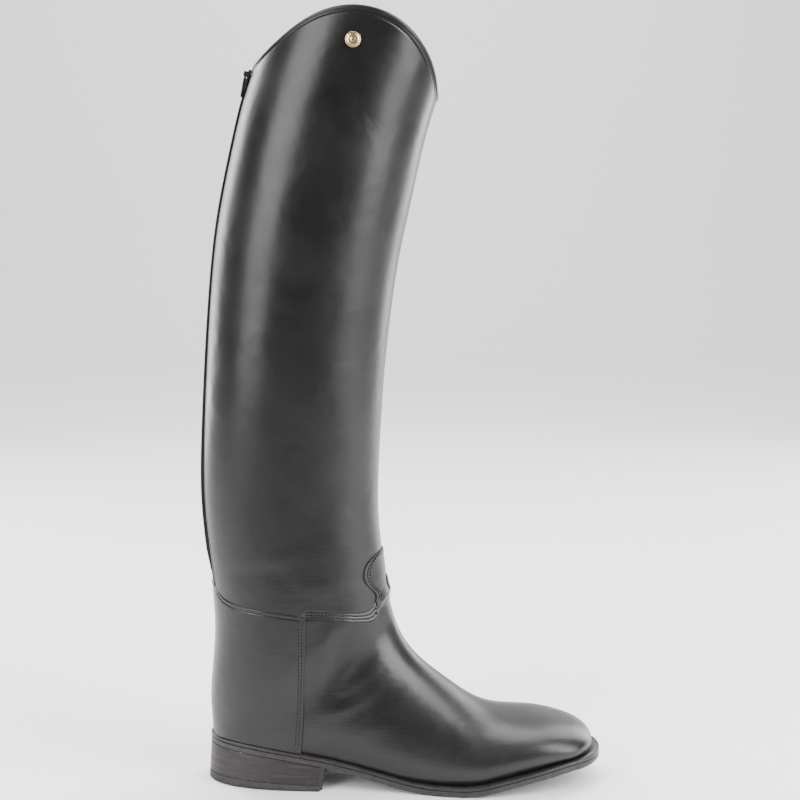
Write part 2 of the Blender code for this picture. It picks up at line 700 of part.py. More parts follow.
# Oval tab on the tongue
_tab_low = _tongue_low + TONGUE_LEATHER + GAP
_oval = []
for i in range(16):
    a = math.tau * i / 16
    _oval.append((ANKLE_TAB_WIDTH / 2 * math.cos(a), ANKLE_TAB_LEVEL + ANKLE_TAB_HEIGHT / 2 * math.sin(a)))
ankle_tab = lattice_piece("ankle_tab", _tab_low, _tab_low + ANKLE_TAB,
                          lambda r, c, p: on_front(p, 0.83), BLACK, 0.3)
boolean(ankle_tab, prism("ankle_tab_cutter", _oval, "x", 0.8 * SHAFT_DEPTH, 1.6 * SHAFT_DEPTH), "INTERSECT")

# Binding round the collar
_band = SHAFT_STEP + GAP
binding = lattice_piece("collar_binding", _band, _band + BINDING, lambda r, c, p: r == ROWS - 2, BLACK, 0.3)
boolean(binding, slot, "DIFFERENCE")

# Strip at the back beside the zip
_strip_low = ZIP_MIDDLE + ZIP_SLOT / 2 + GAP
strip = lattice_piece("back_strip", _band, _band + STRIP, lambda r, c, p: near_back(p) and EDGE_ROW < r < ROWS - 2, BLACK, 0.3)
boolean(strip, prism("strip_cutter", box_outline(_strip_low, _strip_low + STRIP_WIDTH, STRIP_BOTTOM,
                                                 BOOT_HEIGHT), "x", -FAR_BACK, 0.63 * SHAFT_DEPTH), "INTERSECT")

# Zip tape and chain
_zip_faces = lambda r, c, p: near_back(p) and p[2] > 0.69 * ANKLE_HEIGHT
tape = lattice_piece("zip_tape", -(WALL + GAP + TAPE), -(WALL + GAP), _zip_faces, BLACK, 0.8)
boolean(tape, prism("tape_cutter", box_outline(ZIP_MIDDLE - TAPE_WIDTH / 2, ZIP_MIDDLE + TAPE_WIDTH / 2,
                                               ZIP_BOTTOM - 0.005, BACK_HEIGHT - ZIP_TOP_DROP + 0.004),
                                "x", -FAR_BACK, 0.7 * SHAFT_DEPTH),
        "INTERSECT")
chain = lattice_piece("zip_chain", -WALL, -WALL + CHAIN, _zip_faces, BLACK, 0.45)
boolean(chain, prism("chain_cutter", box_outline(ZIP_MIDDLE - CHAIN_WIDTH / 2, ZIP_MIDDLE + CHAIN_WIDTH / 2,
                                                 ZIP_BOTTOM + GAP + END_STOP + GAP, BACK_HEIGHT - ZIP_TOP_DROP),
                     "x", -FAR_BACK, 0.7 * SHAFT_DEPTH), "INTERSECT")
stop = lattice_piece("zip_end_stop", -WALL, SHAFT_STEP + 0.0008, _zip_faces, BLACK, 0.35)
boolean(stop, prism("stop_cutter", box_outline(ZIP_MIDDLE - 0.7 * CHAIN_WIDTH, ZIP_MIDDLE + 0.7 * CHAIN_WIDTH, ZIP_BOTTOM + GAP,
                                               ZIP_BOTTOM + GAP + END_STOP), "x", -FAR_BACK, 0.7 * SHAFT_DEPTH), "INTERSECT")


# Soles: stations pair a point of the outer lip with one of the inner lip, from the heel's back to the toe
def lip_line(inset):
    """Pairs of points of the upper's lower edge, moved inwards by inset, from the heel's back to the toe."""
    lines = []
    for foot, toe in ((LATTICE[FOOT_ROWS::-1, 0], LATTICE[0, 1 : SIDE_COLUMNS + 1]),
                      (LATTICE[FOOT_ROWS::-1, -1], LATTICE[0, -2 : SIDE_COLUMNS - 1 : -1])):
        lines.append(np.concatenate([foot, toe])[:, :2])
    outer, inner = lines
    loop = np.concatenate([outer, inner[::-1][1:-1]])
    ahead = np.roll(loop, -1, axis=0) - np.roll(loop, 1, axis=0)
    out = np.stack([ahead[:, 1], -ahead[:, 0]], axis=1)
    out /= np.linalg.norm(out, axis=1, keepdims=True)
    if out[np.argmin(loop[:, 1]), 1] > 0:
        out = -out
    margin = np.array([inset(x) for x in loop[:, 0]])
    moved = loop + out * margin[:, None]
    count = len(outer)
    outer = moved[:count]
    inner = np.concatenate([moved[:1], moved[count:][::-1], moved[count - 1 : count]])
    return outer, inner


_margin = steady([0.0, 0.25, 0.45, 0.62, 0.80, 0.92, 1.0],
                 [SEAT_MARGIN, SEAT_MARGIN, WAIST_MARGIN, 0.0045, 0.0052, TOE_MARGIN, TOE_MARGIN])


def sole_margin(x):
    return float(_margin(x / SOLE_LENGTH))


def plate(name, margin, bottom, top, colour, rough):
    """A sole piece with a given margin round the lip, between two heights that depend on x."""
    outer, inner = lip_line(margin)
    bm = bmesh.new()
    layers = []
    for height in (bottom, top):
        row = []
        for i in range(len(outer)):
            a, b = outer[i], inner[i]
            first = bm.verts.new((a[0], a[1], float(height(a[0]))))
            if np.hypot(*(a - b)) < 1e-7:
                row.append((first, first))
            else:
                row.append((first, bm.verts.new((b[0], b[1], float(height(b[0]))))))
        layers.append(row)
    for layer in layers:
        for (a, b), (c, d) in zip(layer, layer[1:]):
            bm.faces.new(list(dict.fromkeys((a, c, d, b))))
    low, high = layers
    for i in range(len(low) - 1):
        for k in (0, 1):
            bm.faces.new(list(dict.fromkeys((low[i][k], low[i + 1][k], high[i + 1][k], high[i][k]))))
    return add_object(name, bm, colour, rough)


outsole_top = lambda x: underside(x) + OUTSOLE
welt_top = lambda x: underside(x) + OUTSOLE + GAP + WELT
outsole = plate("outsole", sole_margin, underside, outsole_top, RUBBER, 0.6)
welt = plate("welt", lambda x: sole_margin(x) - 0.0003, lambda x: outsole_top(x) + GAP, welt_top, BLACK, 0.45)
insole = plate("insole", lambda x: -(WALL + 0.0012), feather_height, lambda x: feather_height(x) + INSOLE,
               (0.10, 0.07, 0.05), 0.8)


def make_heel():
    """The heel block, flat below and following the outsole above, with a hollow, leaning breast."""
    outer, inner = lip_line(sole_margin)
    tips = {}
    bm = bmesh.new()
    layers = []
    for high in (False, True):
        row = []
        stations = [i for i in range(len(outer)) if outer[i][0] < BREAST_AT - 0.004]
        spots = [(outer[i], inner[i]) for i in stations]
        last = []
        for side, line in ((0, outer), (1, inner)):
            front = BREAST_AT + (BREAST_SKEW if side else -BREAST_SKEW)
            y = np.interp(front, line[:FOOT_ROWS, 0], line[:FOOT_ROWS, 1])
            last.append(np.array((front, y)))
        spots.append(tuple(last))
        for number, (a, b) in enumerate(spots):
            line = []
            same = np.hypot(*(a - b)) < 1e-7
            for k in range(1 if same else 9):
                share = k / 8
                place = a * (1 - share) + b * share
                x, y = place
                if number == len(spots) - 1:
                    x -= BREAST_HOLLOW * 4 * share * (1 - share)
                    x += BREAST_LEAN if high else 0.0
                grown = 0.0 if high else HEEL_FLARE
                y += grown * (-1 if y < 0 else 1) * min(1.0, abs(y) / 0.02)
                x -= grown * max(0.0, 1 - number / 5)
                z = float(underside(x)) - GAP if high else 0.0
                line.append(bm.verts.new((x, y, z)))
            row.append(line)
        layers.append(row)
    for row in layers:
        for here, ahead in zip(row, row[1:]):
            for k in range(len(ahead) - 1):
                a = here[min(k, len(here) - 1)]
                b = here[min(k + 1, len(here) - 1)]
                bm.faces.new(list(dict.fromkeys((a, ahead[k], ahead[k + 1], b))))
    low, high = layers
    for i in range(len(low) - 1):
        for k in (0, -1):
            bm.faces.new((low[i][k], low[i + 1][k], high[i + 1][k], high[i][k]))
    for k in range(8):
        bm.faces.new((low[-1][k], low[-1][k + 1], high[-1][k + 1], high[-1][k]))
    return add_object("heel", bm, (0.035, 0.030, 0.028), 0.5)


heel = make_heel()

# Frame at the zip's slider: s runs up the back, n points out of the leather, y across
_slider_height = BACK_HEIGHT - SLIDER_DROP
_back_turn = abs(ZIP_MIDDLE) / 0.30
_here = surface([crossing(_back_turn, -1, lambda x: 0 * x + _slider_height, ROUTE_CORNER + 2 * COLLAR_SEARCH)], _back_turn, -1)[0]
_below = surface([crossing(_back_turn, -1, lambda x: 0 * x + _slider_height - TAB_LENGTH, ROUTE_CORNER + 2 * COLLAR_SEARCH)],
                 _back_turn, -1)[0]
_up = Vector((_here[0] - _below[0], 0.0, _here[2] - _below[2])).normalized()
_out = Vector((-_up.z, 0.0, _up.x))
_origin = Vector((_here[0], ZIP_MIDDLE, _here[2]))


SLIDER_LOW = -WALL + CHAIN + GAP + 0.0001
EYE_RADIUS = PIN_RADIUS + EYE_CLEARANCE
PIN_OUT = SLIDER_LOW + SLIDER_THICKNESS + GAP + EYE_WALL + EYE_RADIUS
EYE_WIDTH = TAB_WIDTH - 2 * EAR_WIDTH - 0.001
_pin = _origin + _up * PIN_UP + _out * PIN_OUT
_lean = math.radians(TAB_LEAN)
_tab_up = _up * math.cos(_lean) + _out * math.sin(_lean)
_tab_out = _out * math.cos(_lean) - _up * math.sin(_lean)


def framed_box(bm, frame, s_low, s_high, width, n_low, n_high, middle=0.0):
    """A box in a frame of a start point and its up and out directions."""
    start, up, out = frame
    centre = start + up * ((s_low + s_high) / 2) + out * ((n_low + n_high) / 2) + Vector((0.0, middle, 0.0))
    turn = Matrix((up, Vector((0.0, 1.0, 0.0)), out)).transposed().to_4x4()
    size = Matrix.Diagonal((s_high - s_low, width, n_high - n_low, 1.0))
    bmesh.ops.create_cube(bm, size=1.0, matrix=Matrix.Translation(centre) @ turn @ size)


def rod(bm, radius, width):
    """A rod across the boot, centred on the slider's pin."""
    place = Matrix.Translation(_pin) @ Matrix.Rotation(math.pi / 2, 4, "X")
    bmesh.ops.create_cone(bm, cap_ends=True, segments=20, radius1=radius, radius2=radius, depth=width, matrix=place)


_slider_frame = (_origin, _up, _out)
_tab_frame = (_pin, _tab_up, _tab_out)
bm = bmesh.new()
framed_box(bm, _slider_frame, -SLIDER_LENGTH / 2, SLIDER_LENGTH / 2, SLIDER_WIDTH, SLIDER_LOW,
           SLIDER_LOW + SLIDER_THICKNESS)
slider = add_object("zip_slider", bm, (0.05, 0.05, 0.052), 0.35, 1.0)
for number, place in enumerate((-1, 1)):
    bm = bmesh.new()
    framed_box(bm, _slider_frame, PIN_UP - EAR_LENGTH / 2, PIN_UP + EAR_LENGTH / 2, EAR_WIDTH,
               SLIDER_LOW + SLIDER_THICKNESS - 0.0005, PIN_OUT + PIN_RADIUS + 0.0005,
               place * (EYE_WIDTH / 2 + GAP + EAR_WIDTH / 2))
    boolean(slider, add_object("ear_form_" + str(number), bm), "UNION")
bm = bmesh.new()
rod(bm, PIN_RADIUS, EYE_WIDTH + 2 * GAP + EAR_WIDTH)
boolean(slider, add_object("pin_form", bm), "UNION")

bm = bmesh.new()
rod(bm, EYE_RADIUS + EYE_WALL, EYE_WIDTH)
pull = add_object("zip_pull", bm, (0.05, 0.05, 0.052), 0.35, 1.0)
bm = bmesh.new()
framed_box(bm, _tab_frame, -TAB_LENGTH * 0.4, -EYE_RADIUS - 0.0002, EYE_WIDTH - 0.0002, -TAB_THICKNESS / 2,
           TAB_THICKNESS / 2)
boolean(pull, add_object("pull_neck_form", bm), "UNION")
bm = bmesh.new()
framed_box(bm, _tab_frame, -TAB_LENGTH, -EAR_LENGTH / 2 - 0.0012, TAB_WIDTH, -TAB_THICKNESS / 2 - 0.0001,
           TAB_THICKNESS / 2 + 0.0001)
boolean(pull, add_object("pull_form", bm), "UNION")
bm = bmesh.new()
rod(bm, EYE_RADIUS, EYE_WIDTH + 0.004)
boolean(pull, add_object("eye_cutter", bm), "DIFFERENCE")
PULL_PIVOT = _pin + SHIFT
pull.data.transform(Matrix.Translation(-PULL_PIVOT))
pull.location = PULL_PIVOT


def make_stud():
    """A plain domed stud on the outer side, under the collar."""
    best = None
    for row in range(EDGE_ROW + 2, ROWS - 1):
        for column in range(SIDE_COLUMNS):
            corners = _outside[row : row + 2, column : column + 2].reshape(4, 3)
            low, high = corners.min(axis=0), corners.max(axis=0)
            if low[0] <= STUD_AT <= high[0] and low[2] <= STUD_LEVEL <= high[2]:
                best = corners
    first, second = best[3] - best[0], best[2] - best[1]
    out = np.cross(first, second)
    out /= np.linalg.norm(out)
    if out[1] > 0:
        out = -out
    middle = best.mean(axis=0)
    depth = middle[1] - (out[0] * (STUD_AT - middle[0]) + out[2] * (STUD_LEVEL - middle[2])) / out[1]
    profile = ((0.0, 0.00238), (0.3, 0.00234), (0.6, 0.00212), (0.88, 0.0017), (1.0, 0.0011), (1.0, 0.00045),
               (0.0, 0.00045))
    bm = bmesh.new()
    line = [bm.verts.new((STUD_RADIUS * share, 0.0, height * STUD_HEIGHT / 0.0022)) for share, height in profile]
    for a, b in zip(line, line[1:]):
        bm.edges.new((a, b))
    mesh = bpy.data.meshes.new("collar_stud")
    bm.to_mesh(mesh)
    bm.free()
    mesh.materials.append(material("collar_stud_look", GOLD, 0.3, 1.0))
    made = bpy.data.objects.new("collar_stud", mesh)
    parts.objects.link(made)
    made.location = Vector((STUD_AT, depth, STUD_LEVEL)) + SHIFT
    made.rotation_euler = Vector(out).to_track_quat("Z", "Y").to_euler()
    turned = made.modifiers.new("turned", "SCREW")
    turned.steps = 24
    turned.render_steps = 24
    turned.use_merge_vertices = True
    turned.merge_threshold = 0.00001
    return made


stud = make_stud()
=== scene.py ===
"""Looks of the dress riding boot: fine leather, seams, stitches, zip, sole and studio light."""

import math

import bmesh
import bpy
import numpy as np
from mathutils import Matrix, Vector
from mathutils.bvhtree import BVHTree


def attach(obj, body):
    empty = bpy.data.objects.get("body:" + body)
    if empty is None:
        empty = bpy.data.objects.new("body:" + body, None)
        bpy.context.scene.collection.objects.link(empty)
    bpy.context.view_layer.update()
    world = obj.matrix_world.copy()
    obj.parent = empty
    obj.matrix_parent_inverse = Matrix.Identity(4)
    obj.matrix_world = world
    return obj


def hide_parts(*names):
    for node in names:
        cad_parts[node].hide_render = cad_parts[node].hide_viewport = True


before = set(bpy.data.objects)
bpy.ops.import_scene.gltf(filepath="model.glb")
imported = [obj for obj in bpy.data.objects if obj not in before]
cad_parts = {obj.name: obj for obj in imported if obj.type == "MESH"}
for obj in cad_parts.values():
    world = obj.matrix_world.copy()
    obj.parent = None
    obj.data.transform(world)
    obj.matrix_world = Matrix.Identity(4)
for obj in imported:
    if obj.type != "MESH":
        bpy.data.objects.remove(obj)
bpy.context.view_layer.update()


# Driving sizes of the last and the shaft
SOLE_LENGTH = 0.285
BALL_WIDTH = 0.093
ANKLE_HEIGHT = 0.146
BOOT_HEIGHT = 0.545
SHAFT_DEPTH = 0.126
CALF_WIDTH = 0.110
HEEL_HEIGHT = 0.0275
TOE_SPRING = 0.0160

# Sole thicknesses, and the gap between pieces that meet
OUTSOLE = 0.0044
WELT = 0.0024
GAP = 0.0003

# How far the sole stands out from the upper's lower edge
TOE_MARGIN = 0.0055
WAIST_MARGIN = 0.0030
SEAT_MARGIN = 0.0028

# Heel block
BREAST_AT = 0.087
BREAST_SKEW = 0.0030
BREAST_HOLLOW = 0.0025
BREAST_LEAN = 0.0030
HEEL_FLARE = 0.0018
HEEL_REST_AT = 0.044

# Zip at the back, measured across from the middle of the boot; the outer side is negative
ZIP_MIDDLE = -0.0075
ZIP_SLOT = 0.0112
ZIP_BOTTOM = 0.991 * ANKLE_HEIGHT
ZIP_TOP_DROP = 0.006
TAPE_WIDTH = 0.021
STRIP_WIDTH = 0.0165
STRIP_BOTTOM = 1.082 * ANKLE_HEIGHT
END_STOP = 0.0032

# Collar stud and ankle tab
STUD_RADIUS = 0.0052
STUD_AT = 0.865 * SHAFT_DEPTH
STUD_LEVEL = 0.9596 * BOOT_HEIGHT
ANKLE_TAB_LEVEL = 0.993 * ANKLE_HEIGHT
ANKLE_TAB_HEIGHT = 0.012
ANKLE_TAB_WIDTH = 0.008

# Points along each half of a section
DENSE = 81

# The feather line, where the upper meets the sole, seen from above:
# along as a share of its length from the heel, outer and inner half widths as shares of BALL_WIDTH
FEATHER = (
    # along, outer, inner
    (0.00, 0.000, 0.000),
    (0.03, 0.166, 0.162),
    (0.09, 0.257, 0.250),
    (0.17, 0.308, 0.293),
    (0.28, 0.331, 0.294),
    (0.40, 0.355, 0.274),
    (0.52, 0.398, 0.301),
    (0.64, 0.450, 0.385),
    (0.72, 0.460, 0.425),
    (0.80, 0.435, 0.419),
    (0.88, 0.371, 0.374),
    (0.94, 0.290, 0.305),
    (0.98, 0.184, 0.200),
    (1.00, 0.000, 0.000),
)

# The sole's underside: along as a share of SOLE_LENGTH, and height as a share of HEEL_HEIGHT
WAIST_CURVE = (
    # along, share of HEEL_HEIGHT
    (0.00, 1.00),
    (0.08, 0.93),
    (0.16, 0.84),
    (0.24, 0.715),
    (0.30, 0.605),
    (0.36, 0.465),
    (0.42, 0.305),
    (0.48, 0.145),
    (0.53, 0.045),
    (0.58, 0.00),
)
# In front of the flat spot: along as a share of SOLE_LENGTH, and height as a share of TOE_SPRING
TOE_CURVE = (
    # along, share of TOE_SPRING
    (0.65, 0.00),
    (0.69, 0.085),
    (0.73, 0.25),
    (0.77, 0.42),
    (0.84, 0.67),
    (0.91, 0.88),
    (0.96, 0.97),
    (1.00, 1.00),
)

# Foot sections, from the toe back to the heel's corner. Seat is the angle round the feather line, 180 at
# the toe tip and 0 at the heel's back. Ridge along is a share of SOLE_LENGTH and height of ANKLE_HEIGHT.
# Bulges are how far the sides stand out past the feather line, as shares of BALL_WIDTH, and lean is the
# ridge's shift to the inner side. Widest is the share of the way up where the section is widest. Full is
# the roundness below and above that: 2 is an ellipse and more is squarer.
FOOT_SECTIONS = (
    # seat, ridge along, ridge height, outer bulge, inner bulge, lean, widest, full below, full above
    (152, 0.9807, 0.160, 0.000, 0.000, 0.000, 0.02, 2.00, 1.45),
    (147, 0.9790, 0.206, 0.010, 0.010, 0.005, 0.22, 2.00, 1.90),
    (141, 0.9610, 0.250, 0.022, 0.022, 0.010, 0.30, 2.00, 2.30),
    (133, 0.9140, 0.293, 0.032, 0.032, 0.018, 0.33, 2.00, 2.35),
    (121, 0.8290, 0.330, 0.040, 0.038, 0.030, 0.32, 2.00, 2.25),
    (107, 0.7200, 0.357, 0.046, 0.044, 0.042, 0.29, 2.00, 2.10),
    (90, 0.6180, 0.474, 0.046, 0.058, 0.040, 0.26, 2.00, 2.00),
    (71, 0.5440, 0.592, 0.040, 0.078, 0.030, 0.28, 2.00, 1.98),
    (52, 0.4980, 0.708, 0.046, 0.068, 0.018, 0.36, 2.02, 1.98),
    (34, 0.4750, 0.815, 0.092, 0.092, 0.010, 0.46, 2.05, 1.98),
    (17, 0.4620, 0.910, 0.230, 0.225, 0.004, 0.53, 2.10, 1.98),
    (0, 0.4510, 1.000, 0.396, 0.387, 0.000, 0.56, 2.12, 1.98),
)

# Shaft sections, upwards from just above the heel's corner. Along values are shares of SHAFT_DEPTH from
# the heel's back and half widths shares of CALF_WIDTH. Heights are shares of ANKLE_HEIGHT up to 1, and
# 1 to 2 runs from there to the collar's peak.
SHAFT_SECTIONS = (
    # back along, back height, ridge along, ridge height, outer, inner, widest, full behind, full in front
    (0.033, 0.305, 1.011, 1.022, 0.341, 0.335, 0.56, 2.12, 1.98),
    (0.028, 0.425, 1.001, 1.047, 0.348, 0.342, 0.55, 2.12, 1.98),
    (0.043, 0.589, 0.993, 1.073, 0.356, 0.351, 0.53, 2.12, 2.00),
    (0.058, 0.767, 0.985, 1.100, 0.364, 0.358, 0.51, 2.12, 2.02),
    (0.050, 0.945, 0.979, 1.133, 0.371, 0.365, 0.50, 2.12, 2.04),
    (0.027, 1.050, 0.978, 1.170, 0.380, 0.375, 0.49, 2.12, 2.06),
    (0.001, 1.148, 0.984, 1.226, 0.400, 0.395, 0.48, 2.12, 2.08),
    (0.007, 1.261, 0.996, 1.301, 0.436, 0.427, 0.47, 2.12, 2.10),
    (0.030, 1.386, 1.018, 1.393, 0.464, 0.455, 0.46, 2.12, 2.10),
    (0.062, 1.516, 1.054, 1.494, 0.486, 0.477, 0.455, 2.12, 2.10),
    (0.110, 1.642, 1.105, 1.596, 0.500, 0.491, 0.455, 2.12, 2.10),
    (0.185, 1.757, 1.173, 1.694, 0.505, 0.495, 0.46, 2.12, 2.10),
    (0.270, 1.862, 1.244, 1.792, 0.505, 0.495, 0.47, 2.12, 2.10),
    (0.379, 1.962, 1.339, 1.887, 0.500, 0.491, 0.48, 2.12, 2.10),
    (0.482, 2.052, 1.434, 1.977, 0.498, 0.489, 0.48, 2.12, 2.10),
)

# The collar's edge round each side, from the back to the front: turn is the share of the way round,
# and the heights are shares of BOOT_HEIGHT
COLLAR = (
    # turn, outer height, inner height
    (0.00, 0.930, 0.930),
    (0.07, 0.934, 0.929),
    (0.14, 0.946, 0.927),
    (0.21, 0.963, 0.924),
    (0.28, 0.981, 0.921),
    (0.35, 0.994, 0.917),
    (0.42, 1.000, 0.914),
    (0.48, 1.000, 0.911),
    (0.54, 0.996, 0.908),
    (0.61, 0.987, 0.905),
    (0.68, 0.973, 0.902),
    (0.75, 0.955, 0.900),
    (0.81, 0.938, 0.898),
    (0.87, 0.920, 0.897),
    (0.93, 0.904, 0.896),
    (1.00, 0.896, 0.896),
)

# The counter's front edge seen from the side: along is a share of SHAFT_DEPTH and height of ANKLE_HEIGHT
COUNTER_EDGE = (
    # along, height
    (0.545, 0.10),
    (0.558, 0.30),
    (0.570, 0.50),
    (0.580, 0.75),
    (0.584, 1.05),
)

# The vamp's tongue on the front of the ankle, seen from in front
TONGUE = (
    # height as a share of ANKLE_HEIGHT and on up the shaft, half width as a share of SHAFT_DEPTH
    (0.925, 0.150),
    (0.960, 0.145),
    (0.990, 0.165),
    (1.008, 0.190),
    (1.024, 0.200),
    (1.040, 0.188),
    (1.052, 0.150),
    (1.059, 0.090),
    (1.062, 0.020),
)


def spline(places, values):
    """A natural cubic spline through values at places, as a function."""
    xs = np.asarray(places, dtype=float)
    ys = np.asarray(values, dtype=float)
    count = len(xs)
    step = np.diff(xs)
    matrix = np.eye(count)
    right = np.zeros(count)
    for i in range(1, count - 1):
        matrix[i, i - 1] = step[i - 1]
        matrix[i, i] = 2 * (step[i - 1] + step[i])
        matrix[i, i + 1] = step[i]
        right[i] = 6 * ((ys[i + 1] - ys[i]) / step[i] - (ys[i] - ys[i - 1]) / step[i - 1])
    bend = np.linalg.solve(matrix, right)

    def at(place):
        x = np.clip(np.asarray(place, dtype=float), xs[0], xs[-1])
        i = np.clip(np.searchsorted(xs, x, side="right") - 1, 0, count - 2)
        h = step[i]
        a = (xs[i + 1] - x) / h
        b = (x - xs[i]) / h
        curve = (a**3 - a) * bend[i] + (b**3 - b) * bend[i + 1]
        return a * ys[i] + b * ys[i + 1] + curve * h * h / 6

    return at


def steady(places, values):
    """A cubic curve through values at places that never swings past them, as a function."""
    xs = np.asarray(places, dtype=float)
    ys = np.asarray(values, dtype=float)
    step = np.diff(xs)
    slope = np.diff(ys) / step
    tangent = np.zeros(len(xs))
    for i in range(1, len(xs) - 1):
        if slope[i - 1] * slope[i] > 0:
            tangent[i] = 2 * slope[i - 1] * slope[i] / (slope[i - 1] + slope[i])
    tangent[0] = slope[0]
    tangent[-1] = slope[-1]

    def at(place):
        x = np.clip(np.asarray(place, dtype=float), xs[0], xs[-1])
        i = np.clip(np.searchsorted(xs, x, side="right") - 1, 0, len(xs) - 2)
        h = step[i]
        u = (x - xs[i]) / h
        value = ys[i] * (1 + 2 * u) * (1 - u) ** 2 + ys[i + 1] * u * u * (3 - 2 * u)
        return value + h * (tangent[i] * u * (1 - u) ** 2 - tangent[i + 1] * u * u * (1 - u))

    return at


def level(share):
    """A height given as a share of ANKLE_HEIGHT up to 1, and from there to 2 at the collar's peak."""
    share = np.asarray(share, dtype=float)
    shaft = ANKLE_HEIGHT + (share - 1) * (BOOT_HEIGHT - ANKLE_HEIGHT)
    return np.where(share <= 1, share * ANKLE_HEIGHT, shaft)


FEATHER_BACK = HEEL_FLARE + SEAT_MARGIN
FEATHER_FRONT = SOLE_LENGTH - TOE_MARGIN
FEATHER_LENGTH = FEATHER_FRONT - FEATHER_BACK

_waist = np.array(WAIST_CURVE)
_toe = np.array(TOE_CURVE)
_waist_curve = steady(_waist[:, 0], _waist[:, 1])
_toe_curve = steady(_toe[:, 0], _toe[:, 1])


def underside(x):
    """Height of the outsole's underside at x from the heel's back."""
    share = np.asarray(x, dtype=float) / SOLE_LENGTH
    back = _waist_curve(share) * HEEL_HEIGHT
    front = _toe_curve(share) * TOE_SPRING
    return np.where(share <= _waist[-1, 0], back, np.where(share < _toe[0, 0], 0.0, front))


def feather_height(x):
    """Height of the upper's lower edge at x."""
    return underside(x) + OUTSOLE + WELT + 2 * GAP


_feather = np.array(FEATHER)
_feather_angle = np.arccos(1 - 2 * _feather[:, 0])
_feather_outer = spline(_feather_angle, _feather[:, 1] * BALL_WIDTH)
_feather_inner = spline(_feather_angle, _feather[:, 2] * BALL_WIDTH)


def feather_along(angle):
    """x of the feather line at an angle round it, in radians."""
    return FEATHER_BACK + FEATHER_LENGTH * (1 - np.cos(angle)) / 2


_foot = np.array(FOOT_SECTIONS)
_shaft = np.array(SHAFT_SECTIONS)
_corner = len(_foot) - 1
_seat = np.radians(_foot[:, 0])
_ridge_x = np.concatenate([_foot[:, 1] * SOLE_LENGTH, _shaft[:, 2] * SHAFT_DEPTH])
_ridge_z = np.concatenate([_foot[:, 2] * ANKLE_HEIGHT, level(_shaft[:, 3])])
_ridge_x[0] = FEATHER_FRONT
_ridge_z[0] = feather_height(FEATHER_FRONT)
_base_x = np.concatenate([feather_along(_seat), _shaft[:, 0] * SHAFT_DEPTH])
_base_z = np.concatenate([feather_height(feather_along(_seat)), level(_shaft[:, 1])])
_hops = (np.hypot(np.diff(_ridge_x), np.diff(_ridge_z)) + np.hypot(np.diff(_base_x), np.diff(_base_z))) / 2
ROUTE = np.concatenate([[0.0], np.cumsum(_hops)])
ROUTE_CORNER = ROUTE[_corner]
ROUTE_END = ROUTE[-1]

_foot_lip_outer = _feather_outer(_seat)
_foot_lip_inner = _feather_inner(_seat)
_wide_outer = np.concatenate([_foot_lip_outer + _foot[:, 3] * BALL_WIDTH, _shaft[:, 4] * CALF_WIDTH])
_wide_inner = np.concatenate([_foot_lip_inner + _foot[:, 4] * BALL_WIDTH, _shaft[:, 5] * CALF_WIDTH])
_seat_at = spline(ROUTE[: _corner + 1], _seat)
_bulge_outer_at = spline(ROUTE[: _corner + 1], _foot[:, 3] * BALL_WIDTH)
_bulge_inner_at = spline(ROUTE[: _corner + 1], _foot[:, 4] * BALL_WIDTH)
_back_x_at = spline(ROUTE[_corner:], _base_x[_corner:])
_back_z_at = spline(ROUTE[_corner:], _base_z[_corner:])
_ridge_x_at = spline(ROUTE, _ridge_x)
_ridge_z_at = spline(ROUTE, _ridge_z)
_wide_outer_at = spline(ROUTE, _wide_outer)
_wide_inner_at = spline(ROUTE, _wide_inner)
_lean_at = steady(ROUTE, np.concatenate([_foot[:, 5] * BALL_WIDTH, np.zeros(len(_shaft))]))
_widest_at = spline(ROUTE, np.concatenate([_foot[:, 6], _shaft[:, 6]]))
_below_at = steady(ROUTE, np.concatenate([_foot[:, 7], _shaft[:, 7]]))
_above_at = steady(ROUTE, np.concatenate([_foot[:, 8], _shaft[:, 8]]))


